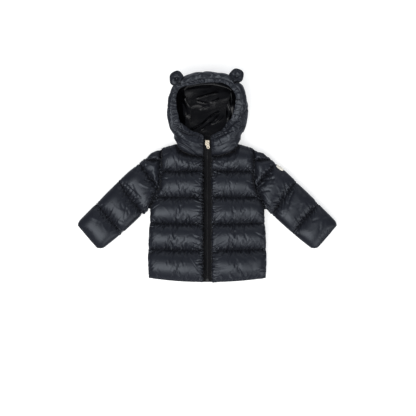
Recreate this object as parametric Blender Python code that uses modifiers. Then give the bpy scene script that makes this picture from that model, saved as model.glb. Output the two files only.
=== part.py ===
"""A toddler's hooded down jacket with round ears, lying on its back, zipped up.

The body is a back panel and two fronts, quilted into level channels. The sleeves are padded
tubes pressed flat, the hood is a padded bowl that opens upwards, and the zip runs from the hem
to the chin. Sizes are millimetres; the meshes are written in metres. +X is the wearer's left,
+Y runs from hem to hood and +Z is up from the floor that the jacket lies on.
"""

import math

import bmesh
import bpy
import numpy as np
from mathutils import Matrix, Vector

MM = 0.001  # metres in a millimetre

# Body
INSIDE_Z = 25.0  # height of the plane where the back and the fronts lie on each other
GAP = 0.3  # parting between two pieces that are sewn together
BODY_CROWN = 27.0  # thickness of a padded channel at its crown
BODY_EDGE = 5.0  # thickness of a padded panel at its own edge
ZIP_EDGE_X = 10.4  # where a front ends beside the zip
SEAM_SHARE = 0.26  # thickness left along a quilting seam, as a share of the crown
SIDE_NOTCH = 2.2  # how far a quilting seam pulls the side in
NOTCHED_SEAMS = (1, 2)  # the seams below the armhole, counted from the hem
GATHER_DEPTH = 1.5  # height of the gathers that cross a quilting seam

# Sleeves
SLEEVE_CROWN = 23.0
SLEEVE_EDGE = 3.0
SLEEVE_SLIT = 1.2  # the flat hollow left in a sleeve that is pressed flat
SLEEVE_SLIT_INSET = 7.0
CUFF_MOUTH = 3.4
CUFF_CORNERS = (6.0, 20.0)  # how far the cuff rounds in at the overarm and the underarm fold
FULL_CHANNEL = 42.0  # a channel narrower than this fills out less

# Hood
HOOD_CROWN = 13.0
HOOD_EDGE = 5.0
HOOD_SEAM_SHARE = 0.48
HOOD_FLOOR_Z = 13.0  # inner height of the back of the hood, which lies on the floor
LINING_GAP = 1.3
LINING_THICKNESS = 1.0
CASING_WIDTH = 8.0  # gathered elastic casing along the face opening
CASING_THICKNESS = 5.6
CASING_GATHERS = 36
EAR_RADIUS = 20.0
EAR_THICKNESS = 13.0

# Zip
TAPE_THICKNESS = 1.0
TAPE_LIFT = 2.0  # tape above the inside plane
CHAIN_WIDTH = 4.6
CHAIN_THICKNESS = 2.0
CHIN_ZIP_TOP_Y = 99.0
HEM_ZIP_Y = -281.0
CHIN_RISE = 19.0  # how far the zip climbs over the chin
SLIDER_Y = 88.0
SLIDER_LENGTH = 13.0
SLIDER_WIDTH = 10.4
PLATE = 1.2  # thickness of the slider's plates
ARCH_HOLE = (3.2, 2.2)  # length along the zip and height of the slider's loop hole
ARCH_WIDTH = 2.4
BAR_DIAMETER = 1.6
PULL_LENGTH = 16.0
PULL_WIDTH = 8.4
PULL_HOLE = 3.6
PULL_THICKNESS = 1.5
PULL_TURN = 12.0  # degrees that the loose pull hangs off the zip's line

# Badge
BADGE_REACH = 0.85  # share of the first facet on each side of the fold that it covers
BADGE_THICKNESS = 1.4

# Half outline of the body, from hem to shoulder: the side seam, then the armhole.
SIDE_TABLE = (  # y, x
    (-282.0, 154.5),
    (-268.0, 155.0),
    (-240.0, 156.5),
    (-210.0, 157.0),
    (-180.0, 156.0),
    (-140.0, 154.0),
    (-105.0, 151.5),
    (-83.5, 149.8),
    (-63.6, 141.8),
    (-43.0, 132.0),
    (-20.0, 125.0),
    (10.6, 123.5),
    (42.0, 122.5),
    (72.0, 121.0),
    (80.0, 120.6),
)

# Front neckline from the zip to the shoulder point, then the shoulder out to the armhole.
NECK_TABLE = (
    (0.0, 50.6),
    (14.0, 51.2),
    (28.0, 53.0),
    (44.0, 57.0),
    (58.0, 62.0),
    (70.0, 69.0),
    (78.0, 77.0),
    (83.0, 85.0),
)
SHOULDER_TABLE = ((83.0, 84.6), (92.0, 81.8), (107.0, 77.6), (121.5, 72.6))
BACK_NECK_Y = 80.0
NECK_POINT_X = 83.0
NECK_POINT_Y = 85.0

# Quilting seams across the body, from hem to yoke, as heights at the zip and at the side.
BODY_SEAMS = (  # at_zip, at_side
    (-281.0, -270.0),
    (-197.0, -193.0),
    (-126.7, -124.0),
    (-55.6, -57.0),
    (13.2, 11.5),
)

# Plan lines across a sleeve, from its overarm fold to its underarm fold, shoulder to cuff.
# A point left out lies on the armhole, at the height that ARMHOLE_HEIGHTS gives for its column.
SLEEVE_LINES = (  # label, is_seam, over, second, middle, fourth, under
    ("armhole", True, None, None, None, None, None),
    ("head", False, (148.5, 60.6), None, None, None, None),
    ("cap_seam", True, (170.4, 42.3), None, None, None, None),
    ("wedge", False, (175.2, 37.3), (142.0, 22.0), None, None, None),
    ("wedge_seam", True, (180.0, 32.2), (157.0, 3.0), None, None, None),
    ("upper", False, (206.5, 10.8), (187.0, -16.0), (171.0, -42.0), (161.5, -69.5), (161.0, -93.0)),
    ("elbow", True, (234.5, -15.5), (219.0, -37.0), (203.0, -58.0), (187.0, -80.0), (172.6, -100.6)),
    ("forearm", False, (264.2, -44.5), (248.4, -64.6), (231.5, -85.5), (215.0, -106.0), (199.0, -125.5)),
    ("wrist", True, (293.2, -73.9), (276.8, -92.7), (260.0, -112.0), (243.0, -131.3), (225.6, -150.2)),
    ("hand", False, (319.2, -100.4), (303.6, -118.4), (288.0, -136.4), (272.0, -154.8), (255.4, -173.2)),
    ("cuff", True, (346.0, -127.2), (331.7, -144.4), (316.9, -162.0), (301.6, -179.6), (285.8, -197.4)),
)
ARMHOLE_HEIGHTS = (71.6, 42.0, -29.0, -57.0, -83.9)
ARMHOLE_LINES = 5  # the first lines of the table, which end along the armhole

# Upright sections round the side of the hood, from the zip at the chin to the ear seam.
# foot: where the section meets the neckline or the floor. side: its widest point.
# rim_left and rim_right: where it ends at the face opening, which isn't quite central.
HOOD_RAYS = (  # label, is_seam, stand, foot, side, rim_left, rim_right
    ("zip", True, 1, (10.4, 57.5, 28.5), (10.4, 76, 41), (10.4, 98.6, 45), (10.4, 98.6, 45)),
    ("chin_one", False, 1, (31, 60, 28.5), (31, 80, 46), (22, 104.5, 49), (23, 105, 49)),
    ("chin_two", False, 1, (52, 66, 28), (50, 88, 49), (39, 111.5, 54), (42, 110, 54)),
    ("chin_three", False, 0.9, (69, 76, 27.5), (65, 95, 49), (51, 120, 60), (57, 115.5, 60)),
    ("shoulder", False, 0.6, (77.5, 90.5, 25.5), (72, 104, 44), (58.5, 127, 66), (69.5, 122, 67)),
    ("nape_side", False, 0, (72.2, 101, 15), (78, 117, 44), (62.5, 132, 70), (77, 127.5, 73)),
    ("seam_low", True, 0, (71.6, 117, 13), (88.5, 131, 46), (66.5, 136.5, 73), (84, 133.5, 76)),
    ("cheek", False, 0, (70.8, 138, 13), (91.3, 154, 48), (71, 142.5, 77), (88.5, 150, 81)),
    ("seam_mid", True, 0, (70, 158, 13), (94, 177, 49), (76, 150, 80), (90.5, 173, 84)),
    ("temple", False, 0, (69.2, 176, 13), (91, 194, 49), (84.5, 172, 83), (89, 191, 85)),
    ("seam_high", True, 0, (68.4, 193, 13), (89, 210, 49), (87.5, 198, 85), (86.5, 208, 85)),
    ("brow", False, 0, (67.6, 205, 13), (81.5, 229, 49), (81.5, 221, 85), (80.5, 224, 85)),
    ("ear_seam", True, 0, (66.8, 213, 13), (71, 241, 49), (68, 236.5, 84), (68.5, 235, 84)),
)
# The same sections over the crown, from the wearer's right ear seam to the left one.
CROWN_RAYS = (  # foot, side, rim
    ((-66.2, 213.4, 13.0), (-70.4, 241.6, 49.0), (-67.8, 235.4, 84.0)),
    ((-50.0, 220.0, 13.0), (-55.0, 253.0, 49.0), (-49.0, 240.0, 84.0)),
    ((-26.0, 225.0, 13.0), (-29.0, 261.0, 49.0), (-26.0, 247.0, 84.0)),
    ((0.0, 227.0, 13.0), (0.0, 263.5, 49.0), (2.0, 251.0, 84.0)),
    ((26.0, 225.0, 13.0), (29.0, 261.0, 49.0), (32.0, 250.5, 84.0)),
    ((50.0, 220.0, 13.0), (55.0, 253.0, 49.0), (54.0, 244.5, 84.0)),
    ((66.2, 213.4, 13.0), (70.4, 241.6, 49.0), (67.4, 237.2, 84.0)),
)
RIM_LEAN = 0.62  # how upright the wall still is where it meets the casing
HOOD_SHIFT = 1.2  # how far the hood has slumped towards the wearer's left
NAPE_HALF_WIDTH = 71.2
NAPE_STEPS = (0.0, 0.08, 0.2, 0.4, 0.6, 0.8)  # from the nape seam to the crown, over the floor
SHOULDER_END_X = 121.5
UNDERARM_Y = -83.5

EARS = (  # name, centre, way out from its seam (degrees in plan), tilt
    ("ear_right", (-80.5, 254.3, 68.0), 128.0, 6.0),
    ("ear_left", (76.0, 261.0, 68.0), 52.0, 6.0),
)
EAR_PROFILE = (  # radius, share of the half thickness
    (0.0, 0.35),
    (3.0, 0.5),
    (6.5, 0.93),
    (10.5, 1.0),
    (15.0, 0.85),
    (18.6, 0.45),
    (EAR_RADIUS, 0.0),
)

BOX_WIDTH = 7.2
BOX_LENGTH = 8.4
POST_WIDTH = 3.2
POST_FROM = 3.2  # where the slider's post starts, above the slider's middle
LOOP_WALL = 1.4

COLOURS = {  # sRGB-like linear colour, metallic, roughness
    "shell": ((0.012, 0.013, 0.019), 0.0, 0.38),
    "lining": ((0.008, 0.008, 0.010), 0.0, 0.45),
    "tape": ((0.010, 0.010, 0.012), 0.0, 0.75),
    "nylon": ((0.014, 0.014, 0.016), 0.0, 0.45),
    "metal": ((0.72, 0.68, 0.62), 1.0, 0.28),
    "felt": ((0.80, 0.78, 0.72), 0.0, 0.9),
}


def clear_scene():
    """Removes every object of the start-up scene."""
    for item in list(bpy.data.objects):
        bpy.data.objects.remove(item)


def collection(name):
    """Makes a collection in the scene."""
    made = bpy.data.collections.new(name)
    bpy.context.scene.collection.children.link(made)
    return made


def material(name):
    """Makes or finds the material of one finish."""
    found = bpy.data.materials.get(name)
    if found:
        return found
    colour, metallic, roughness = COLOURS[name]
    made = bpy.data.materials.new(name)
    made.use_nodes = True
    surface = made.node_tree.nodes["Principled BSDF"]
    surface.inputs["Base Color"].default_value = (*colour, 1.0)
    surface.inputs["Metallic"].default_value = metallic
    surface.inputs["Roughness"].default_value = roughness
    made.diffuse_color = (*colour, 1.0)
    return made


def along(rows, at):
    """Catmull-Rom curve through rows of numbers, read at positions counted in rows."""
    rows = np.asarray(rows, float)
    at = np.clip(np.asarray(at, float), 0.0, len(rows) - 1.0)
    first = np.minimum(at.astype(int), len(rows) - 2)
    part = (at - first)[:, None]
    padded = np.vstack([2 * rows[0] - rows[1], rows, 2 * rows[-1] - rows[-2]])
    before, start, end, after = (padded[first + step] for step in range(4))
    return 0.5 * (
        2 * start
        + (end - before) * part
        + (2 * before - 5 * start + 4 * end - after) * part**2
        + (3 * start - before - 3 * end + after) * part**3
    )


def curve_value(table, key):
    """Second column of a two-column table at a value of its first, on a smooth curve."""
    dense = along(table, np.linspace(0, len(table) - 1, 16 * len(table)))
    return np.interp(key, dense[:, 0], dense[:, 1])


def side_x(y):
    """Half width of the body at a height: the side seam or the armhole."""
    return curve_value(SIDE_TABLE, y)


def neck_y(x):
    """Front neckline height at a distance from the zip."""
    return curve_value(NECK_TABLE, x)


def front_top_y(x):
    """Top edge of a front: the neckline, then the shoulder."""
    return np.where(x < NECK_POINT_X, neck_y(x), curve_value(SHOULDER_TABLE, x))


def back_top_y(x):
    """Top edge of the back: a shallow neckline, then the shoulder."""
    across = np.abs(x)
    hollow = BACK_NECK_Y + (NECK_POINT_Y - BACK_NECK_Y) * (across / NECK_POINT_X) ** 2
    return np.where(across < NECK_POINT_X, hollow, curve_value(SHOULDER_TABLE, across))


def round_edge(distance, radius):
    """Share of full thickness at a distance from an edge that is rounded over a radius."""
    inside = 1.0 - np.clip(distance / radius, 0.0, 1.0)
    return np.sqrt(1.0 - inside**2)


def channel(fraction, low, high):
    """Share of full thickness across a channel, from the seam share low to high."""
    base = low + (high - low) * fraction
    return base + (1.0 - base) * np.sqrt(np.clip(1.0 - (2.0 * fraction - 1.0) ** 2, 0.0, 1.0))


def gather(column, seam, seed):
    """Uneven alternate ridges across a seam, between -1 and 1."""
    size = 0.55 + 0.45 * math.sin(1.7 * column + 2.3 * seam + seed) * math.cos(0.9 * column - seam)
    return size * (1.0 if column % 2 else -1.0)


def seam_gather(column, number, fraction, seed):
    """Gathers of the seam that a row of a channel is near, fading out over the channel."""
    near = {0.07: 1.0, 0.93: 1.0, 0.15: 0.7, 0.85: 0.7, 0.2: 0.5, 0.8: 0.5}.get(fraction, 0.0)
    return near * gather(column, number + round(fraction), seed)


def normals_of(grid, outward):
    """Unit normals of a grid of points, on the side of the outward direction at its middle."""
    across = np.gradient(grid, axis=1)
    down = np.gradient(grid, axis=0)
    normal = np.cross(across, down)
    normal /= np.maximum(np.linalg.norm(normal, axis=2, keepdims=True), 1e-9)
    middle = normal[len(normal) // 2, normal.shape[1] // 2]
    return normal if np.dot(middle, outward) > 0 else -normal


def mesh_object(name, points, faces, group, finish, dissolve=False, merge_flat=False):
    """Makes a closed mesh object from points in millimetres and faces."""
    sheet = bmesh.new()
    size = 1.0 if merge_flat else MM
    corners = [sheet.verts.new(Vector(point) * size) for point in points]
    for face in faces:
        sheet.faces.new([corners[index] for index in face])
    bmesh.ops.recalc_face_normals(sheet, faces=sheet.faces)
    if merge_flat:
        bmesh.ops.dissolve_limit(sheet, angle_limit=0.0005, verts=sheet.verts, edges=sheet.edges)
    if dissolve:
        bmesh.ops.dissolve_limit(sheet, angle_limit=0.0005, verts=sheet.verts, edges=sheet.edges)
    bmesh.ops.triangulate(sheet, faces=sheet.faces, ngon_method="EAR_CLIP")
    mesh = bpy.data.meshes.new(name)
    sheet.to_mesh(mesh)
    sheet.free()
    mesh.shade_smooth()
    mesh.set_sharp_from_angle(angle=math.radians(50))
    made = bpy.data.objects.new(name, mesh)
    made.data.materials.append(material(finish))
    group.objects.link(made)
    return made


def grid_faces(rows, columns, start=0, wrap=False):
    """Quads of a grid whose points are stored row by row from a start index."""
    steps = columns if wrap else columns - 1
    return [
        (
            start + row * columns + column,
            start + row * columns + (column + 1) % columns,
            start + (row + 1) * columns + (column + 1) % columns,
            start + (row + 1) * columns + column,
        )
        for row in range(rows - 1)
        for column in range(steps)
    ]


def panel_wall(name, inner, outer, group, finish, flat_inside=False):
    """A padded panel: a closed wall between an inner and an outer grid of points."""
    rows, columns = inner.shape[:2]
    count = rows * columns
    points = np.vstack([outer.reshape(-1, 3), inner.reshape(-1, 3)])
    faces = grid_faces(rows, columns)
    faces += [tuple(reversed(face)) for face in grid_faces(rows, columns, count)]
    rim = [(0, column) for column in range(columns)]
    rim += [(row, columns - 1) for row in range(1, rows)]
    rim += [(rows - 1, column) for column in range(columns - 2, -1, -1)]
    rim += [(row, 0) for row in range(rows - 2, 0, -1)]
    edge = [row * columns + column for row, column in rim]
    faces += [
        (edge[step], edge[(step + 1) % len(edge)], count + edge[(step + 1) % len(edge)], count + edge[step])
        for step in range(len(edge))
    ]
    return mesh_object(name, points, faces, group, finish, dissolve=flat_inside)


def tube_wall(name, inner, outer, group, finish):
    """A tube of cloth, open at both ends, between an inner and an outer stack of rings."""
    rows, columns = outer.shape[:2]
    count = rows * columns
    points = np.vstack([outer.reshape(-1, 3), inner.reshape(-1, 3)])
    faces = grid_faces(rows, columns, wrap=True)
    faces += [tuple(reversed(face)) for face in grid_faces(len(inner), columns, count, wrap=True)]
    for outer_row, inner_row in ((0, 0), (rows - 1, len(inner) - 1)):
        for column in range(columns):
            after = (column + 1) % columns
            here, there = outer_row * columns + column, outer_row * columns + after
            near, far = count + inner_row * columns + column, count + inner_row * columns + after
            faces.append((here, there, far, near))
    return mesh_object(name, points, faces, group, finish)


def solid_tube(name, rings, group, finish):
    """A closed solid through a stack of rings, with its two ends capped."""
    rows, columns = rings.shape[:2]
    faces = grid_faces(rows, columns, wrap=True)
    faces.append(tuple(range(columns)))
    faces.append(tuple(range((rows - 1) * columns, rows * columns)))
    return mesh_object(name, rings.reshape(-1, 3), faces, group, finish)


# ---------------------------------------------------------------- body panels

CHANNEL_STEPS = (0.0, 0.07, 0.2, 0.5, 0.8, 0.93)


def body_rows(steps):
    """Rows of a body panel: (seam below, fraction of the channel, heights at its two ends)."""
    rows = []
    for index in range(len(BODY_SEAMS)):
        rows += [(index, step) for step in steps]
    rows.append((len(BODY_SEAMS) - 1, 1.0))
    return rows


def seam_y(index, share, x, top):
    """Height of a quilting seam at a share of the way from the zip to the side."""
    if index == len(BODY_SEAMS):
        return top(x)
    at_zip, at_side = BODY_SEAMS[index]
    return at_zip + (at_side - at_zip) * share**2


def body_point(row, share, edge_x, top):
    """Plan point of a body panel at a row and at a share of the way to its side."""
    index, fraction = row
    side_ends = [end for _, end in BODY_SEAMS] + [72.0]
    side_y = side_ends[index] + (side_ends[index + 1] - side_ends[index]) * fraction
    notch = SIDE_NOTCH * (1.0 - math.sin(math.pi * fraction)) ** 3
    reach = side_x(side_y) - (notch if index + round(fraction) in NOTCHED_SEAMS else 0.0)
    x = edge_x + (reach - edge_x) * share
    low = seam_y(index, share, x, top)
    high = seam_y(index + 1, share, x, top)
    return x, float(low + (high - low) * fraction)


def front_panel(name, sign, group):
    """One front: plain inside, quilted outside, from the zip to the side seam and armhole."""
    columns = 21
    spread = np.linspace(0.0, 1.0, columns)
    shares = spread - 0.06 * np.sin(2 * math.pi * spread)
    rows = body_rows(CHANNEL_STEPS)
    inner = np.zeros((len(rows), columns, 3))
    outer = np.zeros_like(inner)
    for r, row in enumerate(rows):
        index, fraction = row
        low = 0.0 if index == 0 else SEAM_SHARE
        high = 0.0 if index == len(BODY_SEAMS) - 1 else SEAM_SHARE
        for c, share in enumerate(shares):
            x, y = body_point(row, share, ZIP_EDGE_X, front_top_y)
            reach = side_x(y) - ZIP_EDGE_X
            sides = round_edge(share * reach, 16.0) * round_edge((1.0 - share) * reach, 30.0)
            fill = channel(fraction, low, high) * sides
            thickness = BODY_EDGE + (BODY_CROWN - BODY_EDGE) * fill
            thickness += GATHER_DEPTH * seam_gather(c, index, fraction, sign) * sides
            inner[r, c] = (sign * x, y, INSIDE_Z + GAP)
            outer[r, c] = (sign * x, y, INSIDE_Z + GAP + thickness)
    return panel_wall(name, inner, outer, group, "shell", flat_inside=True)


def back_panel(group):
    """The back: plain inside, flat underneath, its channels showing round the edge."""
    half = (0.0, 0.3, 0.55, 0.72, 0.84, 0.91, 0.96, 1.0)
    shares = [-share for share in reversed(half[1:])] + list(half)
    rows = body_rows(CHANNEL_STEPS)
    inner = np.zeros((len(rows), len(shares), 3))
    outer = np.zeros_like(inner)
    for r, row in enumerate(rows):
        index, fraction = row
        for c, share in enumerate(shares):
            x, y = body_point(row, abs(share), 0.0, back_top_y)
            from_side = (1.0 - abs(share)) * side_x(y)
            from_end = min(y - HEM_ZIP_Y, float(back_top_y(x)) - y)
            near_side = 1.0 - min(from_side / 34.0, 1.0)
            dip = 1.0 - channel(fraction, SEAM_SHARE, SEAM_SHARE)
            fill = round_edge(from_side, 26.0) * round_edge(from_end, 16.0) * (1.0 - dip * near_side)
            thickness = BODY_EDGE + (INSIDE_Z - BODY_EDGE) * fill
            inner[r, c] = (math.copysign(x, share), y, INSIDE_Z)
            outer[r, c] = (math.copysign(x, share), y, max(INSIDE_Z - thickness, 0.0))
    return panel_wall("body_back", inner, outer, group, "shell", flat_inside=True)


# -------------------------------------------------------------------- sleeves


def armhole_x(y):
    """Edge of the body's own facets along the armhole, which the sleeve keeps clear of."""
    rows = body_rows(CHANNEL_STEPS)
    edge = [body_point(row, 1.0, ZIP_EDGE_X, front_top_y)[::-1] for row in rows]
    edge = np.array(edge)
    return np.interp(y, edge[:, 0], edge[:, 1])


def table_line(index, places):
    """Dense plan curve of one line of the sleeve table."""
    points = SLEEVE_LINES[index][2:]
    if index >= ARMHOLE_LINES:
        return along(points, places)
    heights = [height if point is None else point[1] for point, height in zip(points, ARMHOLE_HEIGHTS)]
    y = np.interp(places, range(5), heights)
    x = armhole_x(y) + 3 * GAP + 0.7 * index
    free = [column for column, point in enumerate(points) if point is not None]
    if free:
        join = len(free)
        joint_x = float(armhole_x(heights[join])) + 3 * GAP + 0.7 * index
        straight = np.interp(places, range(join + 1), [points[column][0] for column in free] + [joint_x])
        x = np.where(places < join, np.maximum(straight, x), x)
    return np.stack([x, y], axis=1)


def plan_line(position, count=81):
    """Dense plan curve of a sleeve at a line position, with its running length."""
    places = np.linspace(0, 4, count)
    first = min(int(position), len(SLEEVE_LINES) - 2)
    start, end = table_line(first, places), table_line(first + 1, places)
    dense = start + (end - start) * (position - first)
    clear = armhole_x(dense[:, 1]) + 3 * GAP
    near_body = dense[:, 1] > UNDERARM_Y - 6.0
    dense[:, 0] = np.where(near_body, np.maximum(dense[:, 0], clear), dense[:, 0])
    run = np.concatenate([[0.0], np.cumsum(np.linalg.norm(np.diff(dense, axis=0), axis=1))])
    return dense, run


def at_run(dense, run, length):
    """Point of a dense curve at a running length."""
    return np.array([np.interp(length, run, dense[:, axis]) for axis in (0, 1)])


def sleeve_stations():
    """Stations along a sleeve: (line position, channel fraction, channel index)."""
    seams = [index for index, row in enumerate(SLEEVE_LINES) if row[1]]
    stations = []
    for number, (start, end) in enumerate(zip(seams, seams[1:])):
        steps = (0.0, 0.15, 0.5, 0.85) if end < ARMHOLE_LINES else CHANNEL_STEPS
        stations += [(start + (end - start) * step, step, number) for step in steps]
    stations.append((float(seams[-1]), 1.0, len(seams) - 2))
    return seams, stations


SLEEVE_STEPS = 12  # from the overarm fold to the underarm fold


def sleeve(name, sign, group):
    """A padded tube, pressed flat, from the armhole to the cuff. Also returns its outer rings."""
    seams, stations = sleeve_stations()
    last = stations[-1][2]
    shares = 0.5 - 0.5 * np.cos(np.linspace(0.0, math.pi, SLEEVE_STEPS + 1))
    shares = 0.5 * shares + 0.5 * np.linspace(0.0, 1.0, SLEEVE_STEPS + 1)
    outer_rings, inner_rings = [], []
    for position, fraction, number in stations:
        dense, run = plan_line(position)
        runs = np.interp(4 * shares, np.linspace(0, 4, len(run)), run)
        total = run[-1]
        seam_lines = [plan_line(seams[number + step])[0] for step in (0, 1)]
        low = 0.0 if number == 0 else SEAM_SHARE
        high = 0.12 if number == last else SEAM_SHARE
        bend = max(0.0, (fraction - 0.78) / 0.22) ** 2 if number == last else 0.0
        near_corner, far_corner = CUFF_CORNERS[0] * bend, CUFF_CORNERS[1] * bend
        mouth = SLEEVE_SLIT + (CUFF_MOUTH - SLEEVE_SLIT) * max(0.0, position - seams[-1] + 1.0)
        upper, lower, slit_up, slit_down = [], [], [], []
        for c, share in enumerate(shares):
            at = near_corner + runs[c] / total * (total - near_corner - far_corner)
            x, y = at_run(dense, run, at)
            place = int(round(share * (len(dense) - 1)))
            wide = np.linalg.norm(seam_lines[0][place] - seam_lines[1][place])
            full = math.sqrt(min(1.0, wide / FULL_CHANNEL))
            from_fold = min(at - near_corner, total - far_corner - at)
            quilt = SEAM_SHARE + (channel(fraction, low, high) - SEAM_SHARE) * full
            fill = max(quilt * round_edge(from_fold, 30.0), 0.0)
            thickness = SLEEVE_EDGE + (SLEEVE_CROWN - SLEEVE_EDGE) * fill
            ridge = GATHER_DEPTH * seam_gather(c, number, fraction, 3 * sign)
            ridge *= round_edge(from_fold, 20.0) * full**2
            upper.append((sign * x, y, INSIDE_Z + mouth / 2 + thickness + ridge))
            drop = (INSIDE_Z - SLEEVE_EDGE) * fill * 1.25
            lower.append((sign * x, y, max(INSIDE_Z - mouth / 2 - SLEEVE_EDGE - drop, 0.0)))
            slit = min(max(at, SLEEVE_SLIT_INSET + near_corner), total - far_corner - SLEEVE_SLIT_INSET)
            x, y = at_run(dense, run, slit)
            slit_up.append((sign * x, y, INSIDE_Z + mouth / 2))
            slit_down.append((sign * x, y, INSIDE_Z - mouth / 2))
        outer_rings.append(upper + lower[::-1])
        if fraction in (0.0, 1.0) or (number == last and fraction == 0.5):
            inner_rings.append([slit_up, slit_down])
    outer = np.array(outer_rings)
    inner = slit_rings(np.array(inner_rings))
    tube_wall(name, inner, outer, group, "shell")
    return outer


def slit_rings(layers):
    """Rings of the flat hollow, its points spread evenly so that no two of them coincide."""
    rings = []
    share = np.linspace(0.0, 1.0, SLEEVE_STEPS + 1)
    for up, down in layers:
        steps = np.concatenate([[0.0], np.cumsum(np.linalg.norm(np.diff(up, axis=0), axis=1))])
        at = share * steps[-1]
        top = np.stack([np.interp(at, steps, up[:, axis]) for axis in range(3)], axis=1)
        low = np.stack([np.interp(at, steps, down[:, axis]) for axis in range(3)], axis=1)
        rings.append(np.vstack([top, low[::-1]]))
    return np.array(rings)


def badge(rings, group):
    """A blank felt badge, wrapped round the overarm fold of the left sleeve."""
    _, stations = sleeve_stations()
    places = [station[0] for station in stations]
    rows = []
    for position in (4.14, 4.27, 4.4, 4.6, 4.8):
        ring = np.array([
            [np.interp(position, places, rings[:, index, axis]) for axis in range(3)]
            for index in (1, 0, -1, -2)
        ])
        steps = np.arange(4.0)
        wanted = (1 - BADGE_REACH, 1 - BADGE_REACH / 2, 1.0, 2.0, 2 + BADGE_REACH / 2, 2 + BADGE_REACH)
        rows.append(np.stack([np.interp(wanted, steps, ring[:, axis]) for axis in range(3)], axis=1))
    grid = np.array(rows)
    normal = normals_of(grid, (0.7, 0.7, 0.0))
    face = grid + normal * (2 * GAP + BADGE_THICKNESS)
    return panel_wall("sleeve_badge", grid + normal * 2 * GAP, face, group, "felt")


# ----------------------------------------------------------------------- hood

HOOD_STEPS = (0.0, 0.09, 0.2, 0.32, 0.44, 0.56, 0.68, 0.8, 0.91, 1.0)
HOOD_CENTRE = (0.0, 160.0, 50.0)


def quarter(start, corner, end, angle):
    """Point of a quarter ellipse from start to end that bulges towards a corner."""
    return corner + (start - corner) * (1 - math.sin(angle)) + (end - corner) * (1 - math.cos(angle))


def hood_section(foot, side, rim, stand):
    """Points of one upright section of the hood's inner face, foot to rim."""
    across = np.array([side[0], side[1], foot[2]])
    upright = np.array([foot[0], foot[1], side[2]])
    low_corner = (1 - stand) * across + stand * upright
    lean = np.array([side[0], side[1], side[2] + RIM_LEAN * (rim[2] - side[2])])
    level = np.array([*(0.5 * (side[:2] + rim[:2])), max(side[2], rim[2]) + 1.5])
    high_corner = (1 - stand) * lean + stand * level
    points = []
    for step in HOOD_STEPS:
        if step < 0.5:
            points.append(quarter(foot, low_corner, side, math.pi * step))
        else:
            part = 2 * step - 1
            points.append((1 - part) ** 2 * side + 2 * part * (1 - part) * high_corner + part**2 * rim)
    return np.array(points)


def side_rays(sign):
    """Rays of one side of the hood as rows of numbers, mirrored for the wearer's right."""
    rays = []
    for _, _, stand, foot, side, rim_left, rim_right in HOOD_RAYS:
        rim = rim_left if sign > 0 else rim_right
        flip = np.array([sign, 1.0, 1.0])
        lopsided = np.array([HOOD_SHIFT * (1.0 - stand), 0.0, 0.0])
        rays.append([*(flip * foot), *(flip * side + lopsided), *(flip * rim), stand])
    return np.array(rays)


def hood_stations():
    """Stations round one side of the hood: (ray position, channel fraction, channel number)."""
    seams = [index for index, row in enumerate(HOOD_RAYS) if row[1]]
    stations = []
    for number, (start, end) in enumerate(zip(seams, seams[1:])):
        steps = (0.0, 0.05, 0.17, 0.33, 0.5, 0.67, 0.83, 0.95) if number == 0 else (0.0, 0.12, 0.5, 0.88)
        stations += [(start + (end - start) * step, step, number) for step in steps]
    stations.append((float(seams[-1]), 1.0, len(seams) - 2))
    return stations


def hood_normals(grid):
    """Unit normals of a hood grid that point away from the inside of the hood."""
    row, column = len(grid) // 2, grid.shape[1] // 2
    return normals_of(grid, grid[row, column] - np.array(HOOD_CENTRE))


def hood_side(name, sign, group):
    """One side of the hood with its half of the chin: its inner grid, normals and outer grid."""
    stations = hood_stations()
    rows = along(side_rays(sign), [station[0] for station in stations])
    grid = np.array([hood_section(row[0:3], row[3:6], row[6:9], np.clip(row[9], 0, 1)) for row in rows])
    normal = hood_normals(grid)
    thickness = np.zeros(grid.shape[:2])
    for r, (_, fraction, number) in enumerate(stations):
        low = 0.0 if number == 0 else HOOD_SEAM_SHARE
        high = HOOD_SEAM_SHARE if number < 3 else 0.1
        for c, step in enumerate(HOOD_STEPS):
            ends = round_edge(step, 0.22) * round_edge(1.0 - step, 0.3)
            fill = channel(fraction, low, high) * ends
            near = 0.7 if fraction in (0.05, 0.12, 0.88, 0.95) else 0.0
            ridge = near * gather(c, number + round(fraction), sign) * ends
            thickness[r, c] = HOOD_EDGE + (HOOD_CROWN - HOOD_EDGE) * fill + ridge
    outer = grid + normal * thickness[:, :, None]
    outer[0, :, 0] = grid[0, :, 0]
    for r, (_, _, number) in enumerate(stations):
        for c in range(len(HOOD_STEPS) // 2 + 1):
            x, y, z = outer[r, c]
            if number == 0 and abs(x) < SHOULDER_END_X and z < 70.0:
                outer[r, c, 1] = max(y, float(front_top_y(abs(x))) + 2 * GAP)
    outer[:, :, 2] = np.maximum(outer[:, :, 2], 0.0)
    panel_wall(name, grid, outer, group, "shell")
    return grid, normal, outer


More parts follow.
